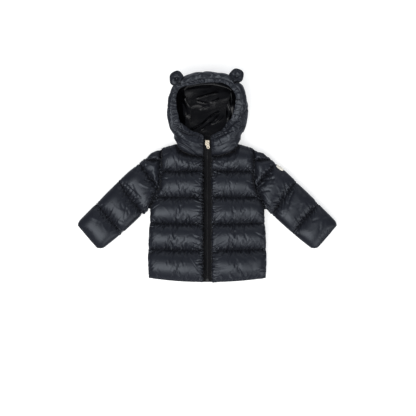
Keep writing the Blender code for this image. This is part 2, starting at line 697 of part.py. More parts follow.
def hood_centre(group):
    """The centre panel, from the nape over the floor, the crown and the brow."""
    columns = np.linspace(0, len(CROWN_RAYS) - 1, 15)
    flat = np.array([[*foot, *side, *rim] for foot, side, rim in CROWN_RAYS], float)
    rows = []
    for ray in along(flat, columns):
        foot, side, rim = ray[0:3], ray[3:6], ray[6:9]
        share = foot[0] / abs(CROWN_RAYS[0][0][0])
        nape_x = NAPE_HALF_WIDTH * share
        nape = np.array([nape_x, float(back_top_y(nape_x)) + 2 * GAP, INSIDE_Z - 1.0])
        floor = []
        for part in NAPE_STEPS:
            point = nape + (foot - nape) * part
            point[2] = HOOD_FLOOR_Z + (nape[2] - HOOD_FLOOR_Z) * (1 - min(part / 0.2, 1.0)) ** 2
            floor.append(point)
        rows.append(np.vstack([floor, hood_section(foot, side, rim, 0.0)]))
    grid = np.array(rows)
    normal = hood_normals(grid)
    normal[:, :3] = (0.0, 0.0, -1.0)
    floor_columns = len(NAPE_STEPS)
    thickness = np.zeros(grid.shape[:2])
    for r in range(len(grid)):
        across = round_edge(min(r, len(grid) - 1 - r) / (len(grid) - 1), 0.16)
        for c in range(grid.shape[1]):
            step = 0.0 if c < floor_columns else HOOD_STEPS[c - floor_columns]
            ends = round_edge((c + 0.3) / grid.shape[1], 0.16) * round_edge(1.0 - step, 0.3)
            thickness[r, c] = HOOD_EDGE + (HOOD_CROWN + 1.0 - HOOD_EDGE) * ends * (0.2 + 0.8 * across)
            if step > 0.5:
                thickness[r, c] += 0.9 * gather(r, 1, 1.0) * ends
    outer = grid + normal * thickness[:, :, None]
    outer[:, :, 2] = np.maximum(outer[:, :, 2], 0.0)
    panel_wall("hood_centre", grid, outer, group, "shell")
    return grid, normal, outer


def lining(name, grid, normal, rows, columns, group, narrow=1.0):
    """A lining skin that lies inside a hood wall, made from the wall's own points."""
    face = grid[np.ix_(rows, columns)] * (narrow, 1.0, 1.0)
    inward = -normal[np.ix_(rows, columns)]
    near = face + inward * LINING_GAP
    far = face + inward * (LINING_GAP + LINING_THICKNESS)
    return panel_wall(name, far, near, group, "lining")


def rim_casing(walls, group):
    """The gathered elastic casing round the face opening, from one zip edge to the other."""
    rows = []
    for grid, normal in walls:
        heading = grid[:, -1] - grid[:, -2]
        heading /= np.linalg.norm(heading, axis=1, keepdims=True)
        centre = grid[:, -1] + normal[:, -1] * (HOOD_EDGE / 2) + heading * (CASING_WIDTH / 2 + 4.5 * GAP)
        rows.append(np.hstack([centre, heading, normal[:, -1]]))
    rows = np.vstack(rows)
    run = np.concatenate([[0.0], np.cumsum(np.linalg.norm(np.diff(rows[:, :3], axis=0), axis=1))])
    sections = 2 * CASING_GATHERS + 1
    rings = []
    for index, at in enumerate(np.linspace(0.0, run[-1], sections)):
        row = np.array([np.interp(at, run, rows[:, axis]) for axis in range(9)])
        middle, ahead, out = row[0:3], row[3:6], row[6:9]
        ahead = ahead / np.linalg.norm(ahead)
        out = out - ahead * np.dot(out, ahead)
        out /= np.linalg.norm(out)
        swell = 1.0 + 0.26 * gather(index, 2, 0.5)
        ring = []
        for corner in range(6):
            angle = 2 * math.pi * (corner + 0.5) / 6
            wide = 0.5 * CASING_WIDTH * math.cos(angle) / math.cos(math.pi / 6)
            thick = 0.5 * CASING_THICKNESS * swell * math.sin(angle)
            ring.append(middle + ahead * wide + out * thick)
        rings.append(ring)
    return solid_tube("hood_rim_casing", np.array(rings), group, "shell")


# ----------------------------------------------------------------------- ears


def hood_corner_cutter(name, side_wall, centre_wall, from_first, group):
    """The hood's outer face at an ear, grown by the parting, as one deep cutter."""
    rows = 8
    pieces = []
    for part in range(3):
        side_part = side_wall[part][-rows:]
        centre_part = centre_wall[part][:, len(NAPE_STEPS):]
        centre_part = centre_part[:6] if from_first else centre_part[::-1][:6]
        pieces.append(np.vstack([side_part, centre_part]))
    grid, normal, outer = pieces
    made = panel_wall(name, grid - normal * 16.0, outer + normal * 3 * GAP, group, "shell")
    made.hide_render = True
    made.display_type = "WIRE"
    return made


def ear(name, centre, heading, tilt, cutter, group):
    """A round padded ear with a dimple sewn through its middle, cut off along its seam."""
    half = EAR_THICKNESS / 2
    outline = [(radius, height * half) for radius, height in EAR_PROFILE]
    outline += [(radius, -height) for radius, height in outline[-2::-1]]
    profile = bmesh.new()
    corners = [profile.verts.new((radius * MM, 0.0, height * MM)) for radius, height in outline]
    for first, second in zip(corners, corners[1:]):
        profile.edges.new((first, second))
    bmesh.ops.spin(
        profile,
        geom=profile.verts[:] + profile.edges[:],
        axis=(0, 0, 1),
        cent=(0, 0, 0),
        angle=2 * math.pi,
        steps=20,
        use_merge=True,
    )
    bmesh.ops.remove_doubles(profile, verts=profile.verts, dist=0.00001)
    bmesh.ops.recalc_face_normals(profile, faces=profile.faces)
    mesh = bpy.data.meshes.new(name)
    profile.to_mesh(mesh)
    profile.free()
    mesh.shade_smooth()
    made = bpy.data.objects.new(name, mesh)
    made.data.materials.append(material("shell"))
    group.objects.link(made)
    made.matrix_world = (
        Matrix.Translation(Vector(centre) * MM)
        @ Matrix.Rotation(math.radians(heading), 4, "Z")
        @ Matrix.Rotation(math.radians(tilt), 4, "Y")
    )
    cut = made.modifiers.new("seam", "BOOLEAN")
    cut.operation = "DIFFERENCE"
    cut.object = cutter
    return made


# ------------------------------------------------------------------------ zip


def zip_z(y):
    """Height of the underside of the zip's tape: level on the body, rising over the chin."""
    rise = np.clip((y - 42.0) / (CHIN_ZIP_TOP_Y - 42.0), 0.0, 1.0)
    return INSIDE_Z + TAPE_LIFT + CHIN_RISE * rise * rise * (3.0 - 2.0 * rise)


def zip_rows(low, high, notes=()):
    """Heights of the sections of a strip along the zip, closer where the chin bends it."""
    bend = [float(y) for y in np.linspace(42.0, CHIN_ZIP_TOP_Y, 10)]
    inside = [y for y in (-140.0, *bend, *notes) if low + 0.5 < y < high - 0.5 or y in notes]
    return sorted({low, high, *inside})


def strip(name, inner_edge, outer_edge, heights, bottom, top, sign, group, finish):
    """A strip along the zip from an inner to an outer edge, between two levels over the tape."""
    rings = []
    for y in heights:
        base = float(zip_z(y))
        near, far = sign * inner_edge(y), sign * outer_edge
        low, high = base + bottom, base + top
        rings.append([(near, y, low), (far, y, low), (far, y, high), (near, y, high)])
    return solid_tube(name, np.array(rings), group, finish)


def tape_inner_edge(y):
    """Inner edge of a tape: at the chain, except round the box and the slider's post."""
    if y < HEM_ZIP_Y + BOX_LENGTH + GAP:
        return BOX_WIDTH / 2 + GAP
    if y > SLIDER_Y + POST_FROM - GAP:
        return POST_WIDTH / 2 + 2 * GAP
    return GAP


def cell_solid(name, xs, ys, zs, filled, place, group, finish):
    """A closed solid of every box cell between the given planes that filled() accepts."""
    solid = {
        (i, j, k)
        for i in range(len(xs) - 1)
        for j in range(len(ys) - 1)
        for k in range(len(zs) - 1)
        if filled(0.5 * (xs[i] + xs[i + 1]), 0.5 * (ys[j] + ys[j + 1]), 0.5 * (zs[k] + zs[k + 1]))
    }
    sides = {
        (1, 0, 0): ((1, 0, 0), (1, 1, 0), (1, 1, 1), (1, 0, 1)),
        (-1, 0, 0): ((0, 0, 0), (0, 0, 1), (0, 1, 1), (0, 1, 0)),
        (0, 1, 0): ((0, 1, 0), (0, 1, 1), (1, 1, 1), (1, 1, 0)),
        (0, -1, 0): ((0, 0, 0), (1, 0, 0), (1, 0, 1), (0, 0, 1)),
        (0, 0, 1): ((0, 0, 1), (1, 0, 1), (1, 1, 1), (0, 1, 1)),
        (0, 0, -1): ((0, 0, 0), (0, 1, 0), (1, 1, 0), (1, 0, 0)),
    }
    index, points, faces = {}, [], []
    for cell in sorted(solid):
        for step, corners in sides.items():
            if tuple(cell[axis] + step[axis] for axis in range(3)) in solid:
                continue
            face = []
            for corner in corners:
                key = tuple(cell[axis] + corner[axis] for axis in range(3))
                if key not in index:
                    index[key] = len(points)
                    points.append((xs[key[0]], ys[key[1]], zs[key[2]]))
                face.append(index[key])
            faces.append(tuple(face))
    made = mesh_object(name, points, faces, group, finish, merge_flat=True)
    made.matrix_world = place
    return made


def slider_frame():
    """Frame of the slider: on the top of the tape, with Y along the climbing zip."""
    step = 1.0
    slope = math.atan2(float(zip_z(SLIDER_Y + step) - zip_z(SLIDER_Y - step)), 2 * step)
    origin = Vector((0.0, SLIDER_Y, float(zip_z(SLIDER_Y)) + TAPE_THICKNESS)) * MM
    return Matrix.Translation(origin) @ Matrix.Rotation(slope, 4, "X")


def slider(group):
    """The slider: two plates joined by a post, with flanges and the loop that holds the pull."""
    half_x, half_y = SLIDER_WIDTH / 2, SLIDER_LENGTH / 2
    under = -TAPE_THICKNESS - 2 * GAP
    top = GAP + CHAIN_THICKNESS + 2 * GAP
    loop = top + PLATE
    hole_y, hole_z = ARCH_HOLE[0] / 2, ARCH_HOLE[1]
    half = (ARCH_WIDTH / 2, POST_WIDTH / 2, half_x - 1.0, half_x)
    xs = (*(-x for x in reversed(half)), *half)
    ys = (-half_y, -hole_y - LOOP_WALL, -hole_y, hole_y, hole_y + LOOP_WALL, POST_FROM + GAP, half_y)
    zs = (under - PLATE, under, 2 * GAP, top, loop, loop + hole_z, loop + hole_z + LOOP_WALL)

    def filled(x, y, z):
        if z < under or top < z < loop:
            return True
        if z < top:
            post = abs(x) < POST_WIDTH / 2 and y > POST_FROM + GAP
            flange = abs(x) > half_x - 1.0 and z > 2 * GAP
            return post or flange
        legs = hole_y < abs(y) < hole_y + LOOP_WALL
        roof = z > loop + hole_z and abs(y) < hole_y + LOOP_WALL
        return abs(x) < ARCH_WIDTH / 2 and (legs or roof)

    made = cell_solid("zip_slider", xs, ys, zs, filled, slider_frame() @ Matrix.Scale(MM, 4), group, "metal")
    soften(made, 0.3)
    return loop + hole_z / 2


def soften(made, width):
    """Rounds the edges of a hard piece."""
    bevel = made.modifiers.new("soften", "BEVEL")
    bevel.width = width * MM
    bevel.segments = 1
    bevel.limit_method = "ANGLE"
    bevel.angle_limit = math.radians(40)


def pull(hinge_z, cutting, group):
    """The pull: a bar through the slider's loop, two arms and a rounded tab with a hole."""
    arm_in, arm_out = ARCH_WIDTH / 2 + 1.0, ARCH_WIDTH / 2 + 2.4
    shoulder, full = -(ARCH_HOLE[0] / 2 + LOOP_WALL + 1.9), -7.4
    half = PULL_WIDTH / 2
    outline = [(arm_in, 0.6), (arm_out, 0.6), (arm_out, shoulder), (half, full)]
    turns = [math.radians(degree) for degree in range(0, -181, -20)]
    outline += [(half * math.cos(turn), -PULL_LENGTH + half + half * math.sin(turn)) for turn in turns]
    outline += [(-half, full), (-arm_out, shoulder), (-arm_out, 0.6), (-arm_in, 0.6)]
    outline += [(-arm_in, shoulder), (arm_in, shoulder)]
    count = len(outline)
    points = [(x, y, z) for z in (-PULL_THICKNESS / 2, PULL_THICKNESS / 2) for x, y in outline]
    faces = [tuple(range(count)), tuple(range(count, 2 * count))]
    faces += [(i, (i + 1) % count, count + (i + 1) % count, count + i) for i in range(count)]
    made = mesh_object("zip_pull", points, faces, group, "metal")
    frame = slider_frame() @ Matrix.Translation(Vector((0.0, 0.0, hinge_z)) * MM)
    frame = frame @ Matrix.Rotation(math.radians(PULL_TURN), 4, "Z")
    made.matrix_world = frame
    bar = rod("cut_pull_bar", BAR_DIAMETER, 2 * arm_out - 0.6, 12, cutting)
    bar.matrix_world = frame @ Matrix.Rotation(math.pi / 2, 4, "Y")
    hole = rod("cut_pull_hole", PULL_HOLE, 3 * PULL_THICKNESS, 16, cutting)
    hole.matrix_world = frame @ Matrix.Translation(Vector((0.0, -PULL_LENGTH + half, 0.0)) * MM)
    for tool, action in ((bar, "UNION"), (hole, "DIFFERENCE")):
        change = made.modifiers.new(tool.name, "BOOLEAN")
        change.operation = action
        change.object = tool
    return made


def rod(name, diameter, length, sides, group):
    """A round rod along Z, used to cut or to join."""
    shape = bmesh.new()
    radius = diameter / 2 * MM
    bmesh.ops.create_cone(
        shape, cap_ends=True, segments=sides, radius1=radius, radius2=radius, depth=length * MM
    )
    mesh = bpy.data.meshes.new(name)
    shape.to_mesh(mesh)
    shape.free()
    mesh.materials.append(material("metal"))
    made = bpy.data.objects.new(name, mesh)
    made.hide_render = True
    made.display_type = "WIRE"
    group.objects.link(made)
    return made


def zip_pieces(group, cutting):
    """Two tapes, the chain, the box at the hem, the slider and its pull."""
    notes = (HEM_ZIP_Y + BOX_LENGTH + GAP - 0.05, HEM_ZIP_Y + BOX_LENGTH + GAP + 0.05)
    notes += (SLIDER_Y + POST_FROM - GAP - 1.5, SLIDER_Y + POST_FROM - GAP + 0.05)
    heights = zip_rows(HEM_ZIP_Y, CHIN_ZIP_TOP_Y - 1.0, notes)
    outer = ZIP_EDGE_X - GAP
    strip("zip_tape_right", tape_inner_edge, outer, heights, 0.0, TAPE_THICKNESS, -1, group, "tape")
    strip("zip_tape_left", tape_inner_edge, outer, heights, 0.0, TAPE_THICKNESS, 1, group, "tape")
    low = TAPE_THICKNESS + GAP
    heights = zip_rows(HEM_ZIP_Y + BOX_LENGTH + 2 * GAP, SLIDER_Y + POST_FROM - 1.5)
    half = CHAIN_WIDTH / 2
    strip("zip_chain", lambda y: -half, half, heights, low, low + CHAIN_THICKNESS, 1, group, "nylon")
    base = float(zip_z(HEM_ZIP_Y))
    half = BOX_WIDTH / 2
    box = cell_solid(
        "zip_box",
        (-half, half),
        (HEM_ZIP_Y + 0.2, HEM_ZIP_Y + BOX_LENGTH),
        (base - 1.2, base + TAPE_THICKNESS + 2.6),
        lambda x, y, z: True,
        Matrix.Scale(MM, 4),
        group,
        "nylon",
    )
    soften(box, 0.7)
    pull(slider(group), cutting, group)


def main():
    """Builds the jacket."""
    clear_scene()
    group = collection("puffer_jacket")
    cutting = collection("cutters")
    back_panel(group)
    front_panel("front_right", -1, group)
    front_panel("front_left", 1, group)
    sleeve("sleeve_right", -1, group)
    badge(sleeve("sleeve_left", 1, group), group)
    right = hood_side("hood_side_right", -1, group)
    left = hood_side("hood_side_left", 1, group)
    centre = hood_centre(group)
    side_rows = (0, 2, 3, 4, 5, 6, 8, 10, 12, 14, 16, 18, 20)
    side_columns = (0, 2, 3, 4, 5, 6, 7, 8, 9)
    lining("lining_right", right[0], right[1], side_rows, side_columns, group)
    lining("lining_left", left[0], left[1], side_rows, side_columns, group)
    centre_columns = (0, 1, 2, 4, 6, 8, 9, 10, 11, 12, 13, 14, 15)
    lining("lining_centre", centre[0], centre[1], range(0, 15, 2), centre_columns, group, 0.983)
    rim_casing((right[:2], centre[:2], (left[0][::-1], left[1][::-1])), group)
    cutters = (
        hood_corner_cutter("cut_ear_right", right, centre, True, cutting),
        hood_corner_cutter("cut_ear_left", left, centre, False, cutting),
    )
    for row, cutter in zip(EARS, cutters):
        ear(*row, cutter, group)
    zip_pieces(group, cutting)


main()
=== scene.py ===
"""A toddler's hooded down jacket with round ears, lying on its back, zipped up.

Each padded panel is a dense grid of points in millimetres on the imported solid's own form. The
grid gets its creases and its sewn gathers, is blown up as cloth, and becomes one closed piece.
"""

import logging
import math
from collections.abc import Callable
from dataclasses import dataclass, field, replace
from enum import Enum

import bmesh
import bpy
import numpy as np
from mathutils import Matrix, Vector
from mathutils.bvhtree import BVHTree


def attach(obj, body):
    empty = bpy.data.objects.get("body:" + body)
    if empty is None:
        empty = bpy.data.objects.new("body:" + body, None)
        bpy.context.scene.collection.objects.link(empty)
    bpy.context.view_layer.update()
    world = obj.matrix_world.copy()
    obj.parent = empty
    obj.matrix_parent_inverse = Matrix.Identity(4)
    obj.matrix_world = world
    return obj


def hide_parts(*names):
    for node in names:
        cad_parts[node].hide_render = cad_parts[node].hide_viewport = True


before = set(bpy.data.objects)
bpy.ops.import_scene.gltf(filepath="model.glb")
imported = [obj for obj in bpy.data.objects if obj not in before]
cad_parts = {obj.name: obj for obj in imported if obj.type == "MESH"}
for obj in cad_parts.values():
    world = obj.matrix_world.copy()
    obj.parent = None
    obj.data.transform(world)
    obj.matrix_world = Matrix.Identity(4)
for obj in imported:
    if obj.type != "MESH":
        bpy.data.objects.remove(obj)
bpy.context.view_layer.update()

Object = bpy.types.Object
Tree = bpy.types.NodeTree
Node = bpy.types.Node
Socket = bpy.types.NodeSocket
Inputs = bpy.types.bpy_prop_collection  # the input sockets of a node, by name

LOG = logging.getLogger("jacket")
MM = 0.001  # metres in a millimetre
WAVE_TURN = 6.283  # units over which a wave texture of scale 1 repeats once
PHOTO_PIXELS = 416
PHOTO_MM = 2.65  # millimetres of the jacket in a pixel of the photograph
PHOTO_CENTRE = (1.9, -84.9)  # what the middle of the photograph looks at, in millimetres


class Side(Enum):
    """A side of the wearer."""

    RIGHT = -1
    LEFT = 1

    @property
    def label(self) -> str:
        """The side's word in a piece's name."""
        return self.name.lower()


# ---- numbers


def along(rows: np.ndarray, at: np.ndarray) -> np.ndarray:
    """Reads a Catmull-Rom curve.

    Args:
        rows: Rows of numbers that the curve passes through.
        at: Positions, counted in rows.

    Returns:
        One row of numbers for each position.
    """
    rows = np.asarray(rows, float)
    at = np.clip(np.asarray(at, float), 0.0, len(rows) - 1.0)
    first = np.minimum(at.astype(int), len(rows) - 2)
    part = (at - first).reshape((-1,) + (1,) * (rows.ndim - 1))
    padded = np.concatenate([[2 * rows[0] - rows[1]], rows, [2 * rows[-1] - rows[-2]]])
    before, start, end, after = (padded[first + step] for step in range(4))
    return 0.5 * (
        2 * start
        + (end - before) * part
        + (2 * before - 5 * start + 4 * end - after) * part**2
        + (3 * start - before - 3 * end + after) * part**3
    )


def curve_value(table: tuple, key: np.ndarray) -> np.ndarray:
    """Reads the second column of a two-column table on a smooth curve.

    Args:
        table: Pairs of numbers, rising in the first column.
        key: Values of the first column.

    Returns:
        The second column at each value.
    """
    dense = along(table, np.linspace(0, len(table) - 1, 16 * len(table)))
    return np.interp(key, dense[:, 0], dense[:, 1])


def round_edge(distance: np.ndarray, radius: float) -> np.ndarray:
    """Share of full thickness at a distance from an edge rounded over a radius."""
    inside = 1.0 - np.clip(np.asarray(distance, float) / radius, 0.0, 1.0)
    return np.sqrt(1.0 - inside**2)


def channel(fraction: np.ndarray, low: np.ndarray, high: np.ndarray) -> np.ndarray:
    """Share of full thickness across a channel that leaves low and high at its seams."""
    base = low + (high - low) * fraction
    return base + (1.0 - base) * np.clip(1.0 - np.abs(2.0 * fraction - 1.0) ** 2.1, 0.0, 1.0) ** 0.82


def unit(vectors: np.ndarray) -> np.ndarray:
    """Vectors at length one."""
    return vectors / np.maximum(np.linalg.norm(vectors, axis=-1, keepdims=True), 1e-9)


def smooth_step(value: np.ndarray) -> np.ndarray:
    """Soft step from 0 to 1 as the value goes from 0 to 1."""
    value = np.clip(value, 0.0, 1.0)
    return value * value * (3.0 - 2.0 * value)


def run_of(grid: np.ndarray, axis: int) -> np.ndarray:
    """Running length of a grid of points along one of its axes, in millimetres."""
    steps = np.linalg.norm(np.diff(grid, axis=axis), axis=-1)
    start = np.zeros_like(np.take(steps, [0], axis=axis))
    return np.concatenate([start, np.cumsum(steps, axis=axis)], axis=axis)


def length_along(line: np.ndarray) -> np.ndarray:
    """Running length at each point of a line."""
    return np.concatenate([[0.0], np.cumsum(np.linalg.norm(np.diff(line, axis=0), axis=1))])


def read_line(line: np.ndarray, run: np.ndarray, at: np.ndarray) -> np.ndarray:
    """Points of a line at some running lengths along it."""
    return np.stack([np.interp(at, run, column) for column in line.T], -1)


def square_to(vectors: np.ndarray, ahead: np.ndarray) -> np.ndarray:
    """Unit vectors with what they share with a direction taken out."""
    return unit(vectors - ahead * np.sum(vectors * ahead, axis=1, keepdims=True))


def finer(grid: np.ndarray, times: int, wrap: bool = False) -> np.ndarray:
    """Adds points between a grid's points on smooth curves.

    Args:
        grid: Rows and columns of points.
        times: Steps made of each step.
        wrap: Whether the last column joins the first.

    Returns:
        The denser grid.
    """
    rows, columns = grid.shape[:2]
    down = along(grid, np.linspace(0, rows - 1, (rows - 1) * times + 1))
    across = np.swapaxes(down, 0, 1)
    if not wrap:
        return np.swapaxes(along(across, np.linspace(0, columns - 1, (columns - 1) * times + 1)), 0, 1)
    across = np.concatenate([across[-2:], across, across[:3]])
    places = 2 + np.arange(columns * times) / times
    return np.swapaxes(along(across, places), 0, 1)


def blurred(grid: np.ndarray, rounds: int) -> np.ndarray:
    """A grid whose values are averaged with their neighbours, its border kept."""
    for _ in range(rounds):
        middle = grid.copy()
        middle[1:-1] = 0.25 * grid[:-2] + 0.5 * grid[1:-1] + 0.25 * grid[2:]
        grid = middle.copy()
        grid[:, 1:-1] = 0.25 * middle[:, :-2] + 0.5 * middle[:, 1:-1] + 0.25 * middle[:, 2:]
    return grid


def normals_of(grid: np.ndarray, outward: np.ndarray) -> np.ndarray:
    """Unit normals of a grid of points, on the side of a direction given for its middle."""
    normal = unit(np.cross(np.gradient(grid, axis=1), np.gradient(grid, axis=0)))
    middle = normal[len(normal) // 2, normal.shape[1] // 2]
    return normal if np.dot(middle, outward) > 0 else -normal


def drift(u: np.ndarray, v: np.ndarray, size: float, seed: int) -> np.ndarray:
    """Uneven swell between about -1 and 1.

    Args:
        u: First coordinate in millimetres.
        v: Second coordinate in millimetres.
        size: Width of a lump in millimetres.
        seed: Number that sets the pattern.

    Returns:
        The swell at each place.
    """
    chance = np.random.default_rng(seed)
    total = np.zeros(np.broadcast(u, v).shape)
    for _ in range(7):
        angle, wave, phase = chance.uniform(0, math.pi), size * chance.uniform(1.4, 3.4), chance.uniform(0, 7)
        total = total + np.sin(2 * math.pi * (u * math.cos(angle) + v * math.sin(angle)) / wave + phase)
    return total / 3.2


def crumple(u: np.ndarray, v: np.ndarray, size: float, seed: int) -> np.ndarray:
    """Sharp-crested crumples of thin cloth, between about -1 and 1.

    Args:
        u: First coordinate in millimetres.
        v: Second coordinate in millimetres.
        size: Width of a facet in millimetres.
        seed: Number that sets the pattern.

    Returns:
        The height at each place.
    """
    chance = np.random.default_rng(seed)
    bent_u = u + 0.45 * size * drift(u, v, 2.0 * size, seed + 1)
    bent_v = v + 0.45 * size * drift(u, v, 2.0 * size, seed + 2)
    total = np.zeros(np.broadcast(u, v).shape)
    for _ in range(5):
        angle, wave, phase = chance.uniform(0, math.pi), size * chance.uniform(1.3, 2.6), chance.uniform(0, 7)
        turn = math.pi * (bent_u * math.cos(angle) + bent_v * math.sin(angle)) / wave + phase
        total = total + 0.5 - np.abs(np.sin(turn))
    return total / 1.6


# ---- creases and gathers


@dataclass(frozen=True)
class Crease:
    """One soft trough or ridge, drawn in plan from its start to its end in millimetres."""

    start: tuple[float, float]
    end: tuple[float, float]
    width: float
    depth: float
    bow: float = 0.0

    def lift(self, x: np.ndarray, y: np.ndarray) -> np.ndarray:
        """Height that the crease adds.

        Args:
            x: Plan coordinate of each point.
            y: Plan coordinate of each point.

        Returns:
            Millimetres to move each point outward, negative in a trough.
        """
        run = np.array(self.end) - self.start
        length = float(np.linalg.norm(run))
        heading = run / length
        from_start = ((x - self.start[0]) * heading[0] + (y - self.start[1]) * heading[1]) / length
        aside = (y - self.start[1]) * heading[0] - (x - self.start[0]) * heading[1]
        part = np.clip(from_start, 0.0, 1.0)
        aside = aside - self.bow * 4 * part * (1 - part)
        beyond = np.maximum(np.abs(from_start - 0.5) - 0.5, 0.0) * length
        window = np.clip(4.0 * np.minimum(from_start + 0.12, 1.12 - from_start), 0.0, 1.0)
        fall = np.exp(-((aside / self.width) ** 2) - (beyond / self.width) ** 2)
        return self.depth * smooth_step(window) * fall


@dataclass(frozen=True)
class Scatter:
    """Short creases at chance places round a point, mostly in one direction."""

    middle: tuple[float, float]
    reach: tuple[float, float]
    count: int
    angle: float
    spread: float
    length: tuple[float, float]
    width: float
    depth: float
    seed: int

    def creases(self) -> list[Crease]:
        """The creases, as many troughs as ridges."""
        chance = np.random.default_rng(self.seed)
        made = []
        for number in range(self.count):
            x = self.middle[0] + self.reach[0] * chance.uniform(-1, 1)
            y = self.middle[1] + self.reach[1] * chance.uniform(-1, 1)
            turn = math.radians(self.angle + self.spread * chance.normal())
            half = 0.5 * chance.uniform(*self.length)
            step = (half * math.cos(turn), half * math.sin(turn))
            depth = self.depth * chance.uniform(0.5, 1.2) * (-1 if number % 2 else 0.8)
            width = self.width * chance.uniform(0.7, 1.4)
            bow = half * chance.normal(0, 0.15)
            made.append(Crease((x - step[0], y - step[1]), (x + step[0], y + step[1]), width, depth, bow))
        return made


@dataclass(frozen=True)
class Gathers:
    """Uneven folds that run away from a sewn line."""

    spacing: float
    reach: float
    depth: float
    width: float
    slant: float = 0.25
    seed: int = 1
    flare: float = 1.1
    scatter: float = 0.28
    onset: float = 0.0

    def lift(self, run: np.ndarray, away: np.ndarray) -> np.ndarray:
        """Height of the folds.

        Args:
            run: Millimetres along the sewn line.
            away: Millimetres from the line, negative on its other side.

        Returns:
            Millimetres to move each point outward.
        """
        chance = np.random.default_rng(self.seed)
        total = np.zeros(np.broadcast(run, away).shape)
        far = np.maximum(away, 0.0)
        at, stop = float(np.min(run)) - self.spacing, float(np.max(run)) + self.spacing
        while at < stop:
            reach = self.reach * chance.choice([0.4, 0.6, 0.85, 1.1, 1.5]) * chance.uniform(0.8, 1.2)
            width = self.width * chance.uniform(0.7, 1.35)
            depth = self.depth * chance.uniform(0.35, 1.2)
            slant = self.slant + chance.normal(0.0, self.scatter)
            bend = chance.normal(0.0, 0.008)
            line = at + slant * far + bend * far**2
            spread = width * (1.0 + self.flare * far / reach)
            fade = np.clip(1.0 - far / reach, 0.0, 1.0)
            trough = np.exp(-(((run - line) / spread) ** 2))
            crest = np.exp(-(((run - line - 1.9 * spread) / (1.3 * spread)) ** 2))
            total += depth * fade * (0.75 * crest - trough)
            at += self.spacing * chance.uniform(0.45, 1.55)
        if self.onset > 0:
            total = total * smooth_step(far / self.onset)
        return np.where(away >= 0.0, total, 0.0)


# ---- meshes


def grid_faces(rows: int, columns: int, wrap: bool = False, flip: bool = False, start: int = 0) -> np.ndarray:
    """Quads of a grid of points that is stored row by row.

    Args:
        rows: Rows of points.
        columns: Columns of points.
        wrap: Whether the last column joins the first.
        flip: Whether the faces look the other way.
        start: Index of the grid's first point.

    Returns:
        An array of four indices for each face.
    """
    row, column = np.meshgrid(np.arange(rows - 1), np.arange(columns if wrap else columns - 1), indexing="ij")
    after = (column + 1) % columns
    here, below = row * columns, (row + 1) * columns
    quads = np.stack([here + column, here + after, below + after, below + column], -1).reshape(-1, 4) + start
    return quads[:, ::-1] if flip else quads


def mesh_object(name: str, points: np.ndarray, faces: list, finish: "Finish", smooth: bool = True) -> Object:
    """Makes a piece from points in millimetres.

    Args:
        name: Name of the piece.
        points: Its points.
        faces: Its faces as lists of point indices.
        finish: What it is made of.
        smooth: Whether its faces are shaded as one skin.

    Returns:
        The new object.
    """
    mesh = bpy.data.meshes.new(name)
    mesh.from_pydata((np.asarray(points) * MM).tolist(), [], [list(map(int, face)) for face in faces])
    mesh.validate()
    mesh.update()
    if smooth:
        mesh.shade_smooth()
    made = bpy.data.objects.new(name, mesh)
    bpy.context.scene.collection.objects.link(made)
    mesh.materials.append(finish.material())
    return made


def face_outward(made: Object) -> None:
    """Turns a closed piece's faces so that they all look out."""
    work = bmesh.new()
    work.from_mesh(made.data)
    bmesh.ops.recalc_face_normals(work, faces=work.faces)
    work.to_mesh(made.data)
    work.free()


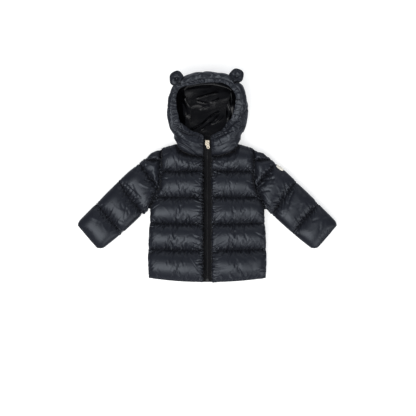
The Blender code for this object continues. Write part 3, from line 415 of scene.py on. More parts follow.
@dataclass
class Skin:
    """The outer face of a padded panel as a grid, with what holds it."""

    name: str
    outer: np.ndarray
    inner: np.ndarray
    out: np.ndarray
    seam_rows: tuple[int, ...] = ()
    wrap: bool = False
    swell: float = 0.05
    cap: float = 5.0
    floor: bool = True
    flat_inside: bool = False

    def push(self, lift: np.ndarray) -> None:
        """Moves the outer face by a height in millimetres along its outward directions."""
        self.outer = self.outer + self.out * lift[..., None]

    def press(self, creases: list[Crease], up: bool = True) -> None:
        """Presses creases drawn in plan into the part of the skin that faces up, or down."""
        facing = np.clip(3.0 * self.out[..., 2] * (1 if up else -1), 0.0, 1.0)
        lift = np.zeros(self.outer.shape[:2])
        for crease in creases:
            lift += crease.lift(self.outer[..., 0], self.outer[..., 1])
        self.push(lift * facing)

    def from_row(self, row: int) -> tuple[np.ndarray, np.ndarray]:
        """Millimetres along a row and signed millimetres away from it, for every point."""
        across, down = run_of(self.inner, 1), run_of(self.inner, 0)
        return np.broadcast_to(across[row], across.shape), down - down[row]

    def from_column(self, column: int) -> tuple[np.ndarray, np.ndarray]:
        """Millimetres along a column and signed millimetres away from it, for every point."""
        across, down = run_of(self.inner, 1), run_of(self.inner, 0)
        return np.broadcast_to(down[:, [column]], down.shape), across - across[:, [column]]

    def held(self) -> np.ndarray:
        """How firmly sewing holds each point, from 0 to 1."""
        held = np.zeros(self.outer.shape[:2])
        held[[0, -1]] = 1.0
        held[list(self.seam_rows)] = 1.0
        if not self.wrap:
            held[:, [0, -1]] = 1.0
        return held

    def refine(self, times: int) -> None:
        """Adds points between the grid's points."""
        self.outer = finer(self.outer, times, self.wrap)
        self.inner = finer(self.inner, times, self.wrap)
        self.out = unit(finer(self.out, times, self.wrap))
        self.seam_rows = tuple(row * times for row in self.seam_rows)

    def quads(self) -> np.ndarray:
        """Quads of the outer face, turned to look outward."""
        quads = grid_faces(*self.outer.shape[:2], self.wrap)
        points, out = self.outer.reshape(-1, 3), self.out.reshape(-1, 3)
        corner = points[quads[:, 0]]
        facing = np.cross(points[quads[:, 1]] - corner, points[quads[:, 3]] - corner)
        return quads[:, ::-1] if float((facing * out[quads[:, 0]]).sum()) < 0 else quads

    def settle(self) -> None:
        """Flattens the skin where it lies on the floor."""
        if self.floor:
            self.outer[..., 2] = np.maximum(self.outer[..., 2], 0.0)

    def close(self, finish: "Finish") -> Object:
        """Makes the panel: the outer face, the inner face and the edge between them.

        Args:
            finish: What the panel is made of.

        Returns:
            The new piece.
        """
        rows, columns = self.outer.shape[:2]
        count = rows * columns
        faces = grid_faces(rows, columns, self.wrap).tolist()
        if self.wrap:
            inner_rows = self.inner.shape[0]
            points = np.vstack([self.outer.reshape(-1, 3), self.inner.reshape(-1, 3)])
            faces += grid_faces(inner_rows, columns, True, True, count).tolist()
            for outer_row, inner_row in ((0, 0), (rows - 1, inner_rows - 1)):
                here = outer_row * columns + np.arange(columns)
                near = count + inner_row * columns + np.arange(columns)
                faces += np.stack([here, np.roll(here, -1), np.roll(near, -1), near], -1).tolist()
        else:
            rim = list(range(columns))
            rim += [row * columns + columns - 1 for row in range(1, rows)]
            rim += [(rows - 1) * columns + column for column in range(columns - 2, -1, -1)]
            rim += [row * columns for row in range(rows - 2, 0, -1)]
            inner = self.inner.reshape(-1, 3)
            if self.flat_inside:
                points = np.vstack([self.outer.reshape(-1, 3), inner[rim]])
                edge = count + np.arange(len(rim))
                faces.append(edge[::-1].tolist())
            else:
                points = np.vstack([self.outer.reshape(-1, 3), inner])
                edge = count + np.array(rim)
                faces += grid_faces(rows, columns, False, True, count).tolist()
            rim = np.array(rim)
            faces += np.stack([rim, np.roll(rim, -1), np.roll(edge, -1), edge], -1).tolist()
        made = mesh_object(self.name, points, faces, finish)
        face_outward(made)
        made.data.set_sharp_from_angle(angle=math.radians(75))
        return made


DOWNPROOF_CLOTH = {  # Blender's cloth settings for thin taut nylon with down behind it
    "quality": 4,
    "mass": 0.3,
    "tension_stiffness": 12.0,
    "compression_stiffness": 12.0,
    "shear_stiffness": 4.0,
    "bending_stiffness": 0.02,
    "tension_damping": 6.0,
    "compression_damping": 6.0,
    "shear_damping": 6.0,
    "bending_damping": 0.6,
    "air_damping": 3.0,
    "use_pressure": True,
    "uniform_pressure_force": 2.2,
    "vertex_group_mass": "sewn",
}


@dataclass
class DownFill:
    """Blows padded skins up between their seams, as the down inside does."""

    skins: list[Skin]
    scale: float = 0.01  # simulation units in a millimetre
    frames: int = 14

    def _stand_in(self, skin: Skin) -> Object:
        """Makes the cloth object of one skin.

        Args:
            skin: The skin to simulate.

        Returns:
            An object with a Cloth modifier, pinned along the skin's sewing.
        """
        mesh = bpy.data.meshes.new("cloth")
        mesh.from_pydata((skin.outer * self.scale).reshape(-1, 3).tolist(), [], skin.quads().tolist())
        made = bpy.data.objects.new("cloth", mesh)
        bpy.context.scene.collection.objects.link(made)
        pins = made.vertex_groups.new(name="sewn")
        pins.add(np.nonzero(skin.held().ravel() > 0.5)[0].tolist(), 1.0, "REPLACE")
        cloth = made.modifiers.new("cloth", "CLOTH")
        for name, value in DOWNPROOF_CLOTH.items():
            setattr(cloth.settings, name, value)
        cloth.settings.effector_weights.gravity = 0.0
        cloth.settings.shrink_min = -skin.swell
        cloth.point_cache.frame_end = self.frames + 1
        return made

    def run(self) -> None:
        """Simulates all skins side by side and moves each as far as its cap allows."""
        made = [self._stand_in(skin) for skin in self.skins]
        scene = bpy.context.scene
        scene.frame_start, scene.frame_end = 1, self.frames + 1
        for moment in range(1, self.frames + 1):
            scene.frame_set(moment)
        depsgraph = bpy.context.evaluated_depsgraph_get()
        for skin, item in zip(self.skins, made):
            result = item.evaluated_get(depsgraph).data
            flat = np.zeros(len(result.vertices) * 3)
            result.vertices.foreach_get("co", flat)
            moved = flat.reshape(skin.outer.shape) / self.scale - skin.outer
            length = np.linalg.norm(moved, axis=-1, keepdims=True)
            LOG.info("%s swells %.1f mm at most", skin.name, float(length.max()))
            moved *= skin.cap * np.tanh(length / skin.cap) / np.maximum(length, 1e-6)
            skin.outer = skin.outer + moved
        for item in made:
            mesh = item.data
            bpy.data.objects.remove(item)
            bpy.data.meshes.remove(mesh)
        scene.frame_set(1)


# ---- finishes


def linear(code: str) -> tuple[float, float, float, float]:
    """Turns an sRGB hex colour into linear light.

    Args:
        code: Colour such as "#14161d".

    Returns:
        Red, green, blue and alpha.
    """
    parts = [int(code[place : place + 2], 16) / 255 for place in (1, 3, 5)]
    return (*(part / 12.92 if part <= 0.04045 else ((part + 0.055) / 1.055) ** 2.4 for part in parts), 1.0)


def add_node(
    tree: Tree,
    kind: str,
    settings: dict | None = None,
    inputs: dict | None = None,
    feeds: dict | None = None,
) -> Node:
    """Adds a node with its settings and links.

    Args:
        tree: Node tree that gets the node.
        kind: Blender's name for the node.
        settings: Properties of the node by name.
        inputs: A value, or the socket that feeds it, for each input by name or number.
        feeds: The socket that an output feeds, by the output's number.

    Returns:
        The new node.
    """
    node = tree.nodes.new(kind)
    for name, value in (settings or {}).items():
        setattr(node, name, value)
    for name, value in (inputs or {}).items():
        socket = node.inputs[name]
        if isinstance(value, Socket):
            tree.links.new(value, socket)
        else:
            socket.default_value = value
    for number, socket in (feeds or {}).items():
        tree.links.new(node.outputs[number], socket)
    return node


@dataclass(frozen=True)
class Finish:
    """A material with its typical values. Its own pattern comes from its class."""

    name: str
    slot: str
    base: str
    deep: str
    roughness: float
    ior: float = 1.5
    metallic: float = 0.0

    def material(self) -> bpy.types.Material:
        """Makes or finds the material."""
        found = bpy.data.materials.get(self.name)
        if found:
            return found
        made = bpy.data.materials.new(self.name)
        made.use_nodes = True
        made.diffuse_color = linear(self.base)
        tree = made.node_tree
        tree.nodes.clear()
        values = {"Roughness": self.roughness, "Metallic": self.metallic, "Base Color": linear(self.base)}
        surface = add_node(tree, "ShaderNodeBsdfPrincipled", inputs=values)
        if not self.metallic:
            surface.inputs["IOR"].default_value = self.ior
        add_node(tree, "ShaderNodeOutputMaterial", inputs={"Surface": surface.outputs[0]})
        place = add_node(tree, "ShaderNodeTexCoord").outputs["Object"]
        share = self.dress(tree, surface.inputs, place)
        if share is not None:
            colours = {"Factor": share, 6: linear(self.deep), 7: linear(self.base)}
            feeds = {2: surface.inputs["Base Color"]}
            add_node(tree, "ShaderNodeMix", {"data_type": "RGBA"}, colours, feeds)
        return made

    def dress(self, tree: Tree, surface: Inputs, place: Socket) -> Socket | None:
        """Adds the material's own pattern.

        Args:
            tree: Node tree of the material.
            surface: Inputs of its shader.
            place: Socket with the place on the object.

        Returns:
            Socket with the base colour's share, or nothing where the colour is even.
        """
        return None


def per_mm(size: float) -> float:
    """Scale of a texture on coordinates in metres whose pattern repeats at a size in mm."""
    return 1.0 / (size * MM)


@dataclass(frozen=True)
class CalenderedNylon(Finish):
    """Downproof nylon taffeta, pressed between hot rolls until its face shines softly.

    The roll leaves a broad wet highlight, and the thin cloth keeps fine crumples.
    """

    cloud: float = 60.0  # width in millimetres of the dye's and the roll's uneven patches
    crumple: float = 7.0  # width in millimetres of a crumple that the thin cloth keeps
    thread: float = 0.9  # the real threads lie 0.12 mm apart; drawn coarser so that they show

    def dress(self, tree: Tree, surface: Inputs, place: Socket) -> Socket:
        """Adds uneven colour and gloss, crumples and the weave."""
        patches = {"Vector": place, "Scale": per_mm(self.cloud), "Detail": 3.0}
        cloud = add_node(tree, "ShaderNodeTexNoise", inputs=patches).outputs[0]
        gloss = {"Value": cloud, "To Min": self.roughness - 0.05, "To Max": self.roughness + 0.07}
        add_node(tree, "ShaderNodeMapRange", inputs=gloss, feeds={0: surface["Roughness"]})
        fine = {"Scale": per_mm(self.crumple), "Detail": 3.0, "Roughness": 0.55, "Distortion": 0.9}
        crumple = add_node(tree, "ShaderNodeTexNoise", inputs={"Vector": place, **fine}).outputs[0]
        folds = {"Strength": 0.35, "Distance": 0.6 * MM, "Height": crumple}
        folded = add_node(tree, "ShaderNodeBump", inputs=folds).outputs[0]
        weave = add_node(
            tree,
            "ShaderNodeTexWave",
            {"wave_type": "BANDS", "bands_direction": "DIAGONAL"},
            {"Vector": place, "Scale": per_mm(self.thread) / WAVE_TURN, "Distortion": 0.4},
        )
        grain = {"Strength": 0.06, "Distance": 0.05 * MM, "Height": weave.outputs[1], "Normal": folded}
        add_node(tree, "ShaderNodeBump", inputs=grain, feeds={0: surface["Normal"]})
        surface["Specular IOR Level"].default_value = 0.32
        surface["Specular Tint"].default_value = linear("#eef6ff")
        surface["Sheen Weight"].default_value = 0.05
        surface["Sheen Roughness"].default_value = 0.4
        return cloud


@dataclass(frozen=True)
class LiningTaffeta(Finish):
    """Polyester lining taffeta, woven with filament yarn, which gives thin bright fold lines."""

    cloud: float = 40.0  # width in millimetres of the dye's uneven patches
    crumple: float = 12.0  # width in millimetres of a soft crumple

    def dress(self, tree: Tree, surface: Inputs, place: Socket) -> Socket:
        """Adds uneven colour and soft crumples."""
        patches = {"Vector": place, "Scale": per_mm(self.cloud), "Detail": 2.0}
        soft = {"Vector": place, "Scale": per_mm(self.crumple), "Detail": 2.0, "Distortion": 1.2}
        crumple = add_node(tree, "ShaderNodeTexNoise", inputs=soft).outputs[0]
        folds = {"Strength": 0.15, "Distance": 0.8 * MM, "Height": crumple}
        add_node(tree, "ShaderNodeBump", inputs=folds, feeds={0: surface["Normal"]})
        surface["Specular IOR Level"].default_value = 0.14
        return add_node(tree, "ShaderNodeTexNoise", inputs=patches).outputs[0]


@dataclass(frozen=True)
class WovenTape(Finish):
    """Polyester zip tape, woven in herringbone, matt because its spun threads scatter light."""

    rib: float = 1.4  # the real ribs lie 0.5 mm apart; drawn coarser so that they show

    def dress(self, tree: Tree, surface: Inputs, place: Socket) -> Socket:
        """Adds the ribs of the weave."""
        surface["Specular IOR Level"].default_value = 0.12
        ribs = add_node(
            tree,
            "ShaderNodeTexWave",
            {"wave_type": "BANDS", "bands_direction": "Y"},
            {"Vector": place, "Scale": per_mm(self.rib) / WAVE_TURN, "Distortion": 0.6},
        )
        relief = {"Strength": 0.6, "Distance": 0.3 * MM, "Height": ribs.outputs[1]}
        add_node(tree, "ShaderNodeBump", inputs=relief, feeds={0: surface["Normal"]})
        return ribs.outputs[1]


@dataclass(frozen=True)
class MouldedAcetal(Finish):
    """Injection-moulded acetal, whose tool leaves a fine even satin."""

    grain: float = 0.8  # the mould's real grain is 0.1 mm wide; drawn coarser so that it shows

    def dress(self, tree: Tree, surface: Inputs, place: Socket) -> Socket:
        """Adds the satin grain of the mould."""
        surface["Specular IOR Level"].default_value = 0.22
        satin = {"Vector": place, "Scale": per_mm(self.grain), "Detail": 2.0}
        grain = add_node(tree, "ShaderNodeTexNoise", inputs=satin).outputs[0]
        relief = {"Strength": 0.2, "Distance": 0.05 * MM, "Height": grain}
        add_node(tree, "ShaderNodeBump", inputs=relief, feeds={0: surface["Normal"]})
        return grain


@dataclass(frozen=True)
class PlatedZinc(Finish):
    """Die-cast zinc, tumbled and nickel-plated, bright with soft dents and worn edges."""

    mark: float = 1.6  # width in millimetres of a tumbling mark

    def dress(self, tree: Tree, surface: Inputs, place: Socket) -> Socket:
        """Adds tumbling marks to colour, gloss and form."""
        tumbled = {"Vector": place, "Scale": per_mm(self.mark), "Detail": 4.0}
        marks = add_node(tree, "ShaderNodeTexNoise", inputs=tumbled).outputs[0]
        gloss = {"Value": marks, "To Min": self.roughness - 0.1, "To Max": self.roughness + 0.14}
        add_node(tree, "ShaderNodeMapRange", inputs=gloss, feeds={0: surface["Roughness"]})
        relief = {"Strength": 0.25, "Distance": 0.1 * MM, "Height": marks}
        add_node(tree, "ShaderNodeBump", inputs=relief, feeds={0: surface["Normal"]})
        return marks


@dataclass(frozen=True)
class WoolFelt(Finish):
    """Pressed wool felt, matt and slightly hairy."""

    fibre: float = 0.9  # the real fibres are 0.03 mm wide; drawn as clumps so that they show

    def dress(self, tree: Tree, surface: Inputs, place: Socket) -> Socket:
        """Adds the matted fibres."""
        matted = {"Vector": place, "Scale": per_mm(self.fibre), "Detail": 5.0, "Distortion": 1.5}
        fibres = add_node(tree, "ShaderNodeTexNoise", inputs=matted).outputs[0]
        relief = {"Strength": 0.6, "Distance": 0.3 * MM, "Height": fibres}
        add_node(tree, "ShaderNodeBump", inputs=relief, feeds={0: surface["Normal"]})
        surface["Sheen Weight"].default_value = 0.4
        return fibres


@dataclass(frozen=True)
class OpalFloor(Finish):
    """Opal acrylic top of a photographer's light table, matt and faintly lit from below."""

    glow: float = 0.64

    def dress(self, tree: Tree, surface: Inputs, place: Socket) -> None:
        """Adds the light from below."""
        surface["Emission Color"].default_value = linear("#ffffff")
        surface["Emission Strength"].default_value = self.glow
        surface["Specular IOR Level"].default_value = 0.0


SHELL = CalenderedNylon("calendered_nylon_taffeta", "shell", "#111218", "#0b0c11", 0.40)
# The lining's base colours are set darker than black taffeta: partly the cloth's own black, partly painted
# shade of the hood's deep inside.
LINING = LiningTaffeta("polyester_lining_taffeta", "lining", "#050507", "#030304", 0.24)
TAPE = WovenTape("woven_polyester_tape", "tape", "#0e0e11", "#060607", 0.75)
MOULDING = MouldedAcetal("moulded_acetal", "moulding", "#101013", "#0a0a0c", 0.42)
METAL = PlatedZinc("nickel_plated_zinc", "metal", "#8f887b", "#4c463e", 0.26, metallic=1.0)
FELT = WoolFelt("pressed_wool_felt", "felt", "#ece7da", "#cfc8b8", 0.92)
THREAD = MouldedAcetal("twisted_polyester_thread", "shell", "#12141c", "#0b0d12", 0.5)
FLOOR = OpalFloor("opal_acrylic", "", "#b8b8b5", "#b8b8b5", 0.9)


def finish_piece(made: Object, finish: Finish, body: str, *nodes: str) -> Object:
    """Puts a piece on its body.

    Args:
        made: The piece.
        finish: What it is made of; not used.
        body: Body of the frame that carries it.
        nodes: Solids of the frame that it stands for.

    Returns:
        The same piece.
    """
    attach(made, body)
    if nodes:
        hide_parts(*nodes)
    LOG.info("%s: %d faces", made.name, len(made.data.polygons))
    return made


# ---- body


@dataclass
class Body:
    """The back and the two fronts, quilted into level channels."""

    spacing: float = 2.9  # millimetres between the points of the blown-up grid
    inside_z: float = 25.0
    gap: float = 0.3
    crown: float = 27.0
    edge: float = 5.0
    zip_edge: float = 10.4
    seam_share: float = 0.34
    hem_y: float = -281.0
    side_notch: float = 2.2
    notched: tuple[int, ...] = (1, 2)
    side: tuple = (  # y, x of the side seam and the armhole, from the hem
        (-282.0, 154.5),
        (-268.0, 155.0),
        (-240.0, 156.5),
        (-210.0, 157.0),
        (-180.0, 156.0),
        (-140.0, 154.0),
        (-105.0, 151.5),
        (-83.5, 149.8),
        (-63.6, 141.8),
        (-43.0, 132.0),
        (-20.0, 125.0),
        (10.6, 123.5),
        (42.0, 122.5),
        (72.0, 121.0),
        (80.0, 120.6),
    )
    neck: tuple = (
        *((0.0, 50.6), (14.0, 51.2), (28.0, 53.0), (44.0, 57.0)),
        *((58.0, 62.0), (70.0, 69.0), (78.0, 77.0), (83.0, 85.0)),
    )
    shoulder: tuple = ((83.0, 84.6), (92.0, 81.8), (107.0, 77.6), (121.5, 72.6))
    neck_point: tuple[float, float] = (83.0, 85.0)
    back_neck_y: float = 80.0
    seams: tuple = (  # quilting seams from the hem, as heights at the zip and at the side
        (-281.0, -270.0),
        (-197.0, -193.0),
        (-126.7, -124.0),
        (-55.6, -57.0),
        (13.2, 11.5),
    )

    def side_x(self, y: np.ndarray) -> np.ndarray:
        """Half width of the body at a height."""
        return curve_value(self.side, y)

    def front_top(self, x: np.ndarray) -> np.ndarray:
        """Top edge of a front: the neckline, then the shoulder."""
        return np.where(x < self.neck_point[0], curve_value(self.neck, x), curve_value(self.shoulder, x))

    def back_top(self, x: np.ndarray) -> np.ndarray:
        """Top edge of the back: a shallow neckline, then the shoulder."""
        across = np.abs(x)
        climb = self.neck_point[1] - self.back_neck_y
        hollow = self.back_neck_y + climb * (across / self.neck_point[0]) ** 2
        return np.where(across < self.neck_point[0], hollow, curve_value(self.shoulder, across))

    def rows(self) -> tuple[np.ndarray, np.ndarray, tuple[int, ...]]:
        """Rows of a panel from hem to top.

        Returns:
            Each row's channel, its fraction of the channel, and the numbers of the seam rows.
        """
        heights = [row[0] for row in self.seams] + [60.0]
        index, fraction, seam_rows = [], [], []
        for number, (low, high) in enumerate(zip(heights, heights[1:])):
            steps = int(round((high - low) / self.spacing))
            seam_rows.append(len(index))
            part = np.arange(steps) / steps
            part = part - 0.09 * np.sin(2 * math.pi * part)
            index += [number] * steps
            fraction += part.tolist()
        index.append(len(self.seams) - 1)
        fraction.append(1.0)
        return np.array(index), np.array(fraction), tuple(seam_rows[1:])

    def plan(
        self, index: np.ndarray, fraction: np.ndarray, share: np.ndarray, edge_x: float, top: Callable
    ) -> np.ndarray:
        """Plan grid of a panel.

        Args:
            index: Channel of each row.
            fraction: Fraction of the channel of each row.
            share: Share of the way to the side of each column.
            edge_x: Where the panel starts.
            top: Function that gives the top edge.

        Returns:
            A grid of x and y.
        """
        ends = np.array([row[1] for row in self.seams] + [72.0])
        side_y = ends[index] + (ends[index + 1] - ends[index]) * fraction
        pulled = np.isin(index + np.round(fraction).astype(int), self.notched)
        notch = np.where(pulled, self.side_notch * (1.0 - np.sin(math.pi * fraction)) ** 3, 0.0)
        reach = (self.side_x(side_y) - notch)[:, None]
        x = edge_x + (reach - edge_x) * share[None, :]
        at_zip = np.array([row[0] for row in self.seams])
        low = at_zip[index][:, None] + (ends[index] - at_zip[index])[:, None] * share[None, :] ** 2
        after = np.minimum(index + 1, len(at_zip) - 1)
        high = at_zip[after][:, None] + (ends[after] - at_zip[after])[:, None] * share[None, :] ** 2
        high = np.where((index + 1 == len(at_zip))[:, None], top(x), high)
        return np.stack([x, low + (high - low) * fraction[:, None]], -1)

    def front(self, side: Side) -> Skin:
        """The skin of one front.

        Args:
            side: Which front.

        Returns:
            Its outer and inner grids with the seams' places.
        """
        sign = side.value
        index, fraction, seam_rows = self.rows()
        columns = int(146 / self.spacing)
        spread = np.linspace(0.0, 1.0, columns)
        shares = spread - 0.05 * np.sin(2 * math.pi * spread)
        plan = self.plan(index, fraction, shares, self.zip_edge, self.front_top)
        reach = self.side_x(plan[..., 1]) - self.zip_edge
        low = np.where(index == 0, 0.0, self.seam_share)[:, None]
        high = np.where(index == len(self.seams) - 1, 0.0, self.seam_share)[:, None]
        fill = channel(fraction[:, None], low, high)
        uneven = drift(plan[..., 0], plan[..., 1] * 2.0, 46.0, 11 + sign)
        sides = round_edge(shares * reach, 7.0) * round_edge((1.0 - shares) * reach, 20.0)
        lip = round_edge((1.0 - shares) * reach + 0.4, 3.0)
        padding = (self.crown - self.edge) * fill * sides * (1.0 + 0.05 * uneven)
        thick = self.edge * (0.35 + 0.65 * lip) + padding
        underside = np.full(plan.shape[:2], self.inside_z + self.gap)
        inner = np.dstack([sign * plan[..., 0], plan[..., 1], underside])
        outer = inner.copy()
        outer[..., 2] += thick
        name = f"front_{side.label}_shell"
        return Skin(name, outer, inner, self._outward(outer), seam_rows, flat_inside=True, floor=False)

    @staticmethod
    def _outward(outer: np.ndarray) -> np.ndarray:
        """Directions that gathers stand in: half the skin's own normal, half straight up."""
        return unit(blurred(normals_of(outer, np.array([0, 0, 1.0])), 2) + (0.0, 0.0, 0.8))

    def back(self) -> Skin:
        """The skin of the back, which lies flat on the floor."""
        index, fraction, seam_rows = self.rows()
        half = np.linspace(0.0, 1.0, 38)
        half = half + 0.08 * np.sin(math.pi * half)
        half = half / half[-1]
        shares = np.concatenate([-half[:0:-1], half])
        plan = self.plan(index, fraction, np.abs(shares), 0.0, self.back_top)
        x = plan[..., 0] * np.sign(shares)
        y = plan[..., 1]
        from_side = (1.0 - np.abs(shares)) * self.side_x(y)
        from_end = np.minimum(y - self.hem_y, self.back_top(x) - y)
        near_side = 1.0 - np.minimum(from_side / 34.0, 1.0)
        dip = 1.0 - channel(fraction[:, None], self.seam_share, self.seam_share)
        fill = round_edge(from_side, 26.0) * round_edge(from_end, 16.0) * (1.0 - dip * near_side)
        lip = round_edge(np.minimum(from_side, from_end) + 0.4, 3.0)
        thick = self.edge * (0.35 + 0.65 * lip) + (self.inside_z - self.edge) * fill
        inner = np.dstack([x, y, np.full(x.shape, self.inside_z)])
        outer = inner.copy()
        outer[..., 2] = np.maximum(outer[..., 2] - thick, 0.0)
        out = unit(blurred(normals_of(outer, np.array([0, 0, -1.0])), 2) - (0.0, 0.0, 0.6))
        return Skin("back_shell", outer, inner, out, seam_rows, flat_inside=True)


# ---- sleeve


@dataclass
class Sleeve:
    """A padded tube, pressed flat, from the armhole to the cuff."""

    body: Body
    side: Side
    crown: float = 23.0
    edge: float = 3.0
    slit: float = 1.2
    inset: float = 7.0
    mouth: float = 3.4
    corners: tuple[float, float] = (4.0, 12.0)
    full_channel: float = 42.0
    heights: tuple = (71.6, 42.0, -29.0, -57.0, -83.9)
    armhole_lines: int = 5
    underarm_y: float = -83.5
    lines: tuple = (  # is_seam, then plan points from the overarm fold to the underarm fold
        (True, None, None, None, None, None),
        (False, (148.5, 60.6), None, None, None, None),
        (True, (170.4, 42.3), None, None, None, None),
        (False, (175.2, 37.3), (142.0, 22.0), None, None, None),
        (True, (180.0, 32.2), (157.0, 3.0), None, None, None),
        (False, (206.5, 10.8), (187.0, -16.0), (171.0, -42.0), (161.5, -69.5), (161.0, -93.0)),
        (True, (234.5, -15.5), (219.0, -37.0), (203.0, -58.0), (187.0, -80.0), (172.6, -100.6)),
        (False, (264.2, -44.5), (248.4, -64.6), (231.5, -85.5), (215.0, -106.0), (199.0, -125.5)),
        (True, (293.2, -73.9), (276.8, -92.7), (260.0, -112.0), (243.0, -131.3), (225.6, -150.2)),
        (False, (319.2, -100.4), (303.6, -118.4), (288.0, -136.4), (272.0, -154.8), (255.4, -173.2)),
        (True, (346.0, -127.2), (331.7, -144.4), (316.9, -162.0), (301.6, -179.6), (285.8, -197.4)),
    )
    channel_steps: tuple = (8, 7, 22, 22, 22)
    columns: int = 46

    def armhole_x(self, y: np.ndarray) -> np.ndarray:
        """Edge of the body along the armhole, which the sleeve keeps clear of."""
        index, fraction, _ = self.body.rows()
        edge = self.body.plan(index, fraction, np.array([1.0]), self.body.zip_edge, self.body.front_top)[:, 0]
        return np.interp(y, edge[:, 1], edge[:, 0])

    def table_line(self, index: int, places: np.ndarray) -> np.ndarray:
        """Dense plan curve of one line of the table.

        Args:
            index: Row of the table.
            places: Positions along the line, from 0 to 4.

        Returns:
            Plan points.
        """
        points = self.lines[index][1:]
        if index >= self.armhole_lines:
            return along(points, places)
        heights = [height if point is None else point[1] for point, height in zip(points, self.heights)]
        y = np.interp(places, range(5), heights)
        clear = 3 * self.body.gap + 0.7 * index
        x = self.armhole_x(y) + clear
        free = [column for column, point in enumerate(points) if point is not None]
        if free:
            join = len(free)
            joint_x = float(self.armhole_x(np.array(heights[join]))) + clear
            straight = np.interp(places, range(join + 1), [points[column][0] for column in free] + [joint_x])
            x = np.where(places < join, np.maximum(straight, x), x)
        return np.stack([x, y], -1)

    def plan_line(self, position: float) -> tuple[np.ndarray, np.ndarray]:
        """Plan curve at a position along the sleeve, with its running length."""
        places = np.linspace(0, 4, 81)
        first = min(int(position), len(self.lines) - 2)
        start, end = self.table_line(first, places), self.table_line(first + 1, places)
        dense = start + (end - start) * (position - first)
        clear = self.armhole_x(dense[:, 1]) + 3 * self.body.gap
        beside = dense[:, 1] > self.underarm_y - 6.0
        dense[:, 0] = np.where(beside, np.maximum(dense[:, 0], clear), dense[:, 0])
        return dense, length_along(dense)

    def stations(self) -> tuple[list[int], list[tuple[float, float, int]], tuple[int, ...]]:
        """Stations along the sleeve.

        Returns:
            The seam lines, then position, fraction and channel of each station, then the
            numbers of the stations that lie on a quilting seam.
        """
        seams = [index for index, row in enumerate(self.lines) if row[0]]
        stations, seam_rows = [], []
        for number, (start, end) in enumerate(zip(seams, seams[1:])):
            steps = self.channel_steps[number]
            seam_rows.append(len(stations))
            part = np.arange(steps) / steps
            part = part - 0.08 * np.sin(2 * math.pi * part)
            stations += [(start + (end - start) * step, float(step), number) for step in part]
        stations.append((float(seams[-1]), 1.0, len(seams) - 2))
        return seams, stations, tuple(seam_rows[1:])

    def skin(self) -> Skin:
        """The sleeve's outer rings, from the armhole to the cuff."""
        sign, z = self.side.value, self.body.inside_z
        seams, stations, seam_rows = self.stations()
        last = stations[-1][2]
        shares = 0.5 - 0.5 * np.cos(np.linspace(0.0, math.pi, self.columns + 1))
        shares = 0.45 * shares + 0.55 * np.linspace(0.0, 1.0, self.columns + 1)
        lines = {number: self.plan_line(float(number))[0] for number in seams}
        rings, flat = [], []
        for position, fraction, number in stations:
            dense, run = self.plan_line(position)
            runs, total = np.interp(4 * shares, np.linspace(0, 4, len(run)), run), run[-1]
            low = 0.0 if number == 0 else self.body.seam_share
            high = 0.12 if number == last else self.body.seam_share
            bend = max(0.0, (fraction - 0.78) / 0.22) ** 2 if number == last else 0.0
            near, far = self.corners[0] * bend, self.corners[1] * bend
            mouth = self.slit + (self.mouth - self.slit) * max(0.0, position - seams[-1] + 1.0)
            at = near + runs / total * (total - near - far)
            x, y = np.interp(at, run, dense[:, 0]), np.interp(at, run, dense[:, 1])
            place = np.round(shares * (len(dense) - 1)).astype(int)
            wide = np.linalg.norm(lines[seams[number]][place] - lines[seams[number + 1]][place], axis=1)
            full = np.sqrt(np.minimum(1.0, wide / self.full_channel))
            from_fold = np.minimum(at - near, total - far - at)
            quilt = self.body.seam_share + (channel(fraction, low, high) - self.body.seam_share) * full
            fill = np.maximum(quilt * round_edge(from_fold, 30.0), 0.0)
            lip = round_edge(from_fold + 0.2, 3.5)
            up = self.edge * lip + (self.crown - self.edge) * fill
            drop = self.edge * lip + (z - self.edge) * fill * 1.25
            upper = np.stack([sign * x, y, z + mouth / 2 + up], -1)
            lower = np.stack([sign * x, y, np.maximum(z - mouth / 2 - drop, 0.0)], -1)
            rings.append(np.vstack([upper, lower[-2:0:-1]]))
            level = np.stack([sign * x, y, np.full(len(x), z)], -1)
            flat.append(np.vstack([level, level[-2:0:-1]]))
        outer, flat = np.array(rings), np.array(flat)
        side = np.where(np.arange(outer.shape[1]) <= self.columns, 1.0, -1.0)
        facing = np.zeros_like(outer)
        facing[..., 2] = side[None, :]
        wrapped = np.concatenate([outer[:, -2:], outer, outer[:, :2]], axis=1)
        normal = unit(np.cross(np.gradient(wrapped, axis=1), np.gradient(wrapped, axis=0)))[:, 2:-2]
        middle = self.columns // 2
        if normal[len(normal) // 2, middle, 2] < 0:
            normal = -normal
        out = unit(blurred(normal, 2) + 0.7 * facing * round_edge(self._from_fold(flat), 12.0)[..., None])
        return Skin(f"sleeve_{self.side.label}_shell", outer, flat, out, seam_rows, wrap=True)

    def rows_at(self) -> tuple[list[float], list[int]]:
        """Positions along the sleeve and the row of each."""
        stations = self.stations()[1]
        return [station[0] for station in stations], list(range(len(stations)))

    def _from_fold(self, flat: np.ndarray) -> np.ndarray:
        """Millimetres from the nearer fold of the pressed tube, for every point."""
        top = flat[:, : self.columns + 1]
        run = run_of(top, 1)
        distance = np.minimum(run, run[:, -1:] - run)
        return np.concatenate([distance, distance[:, -2:0:-1]], axis=1)

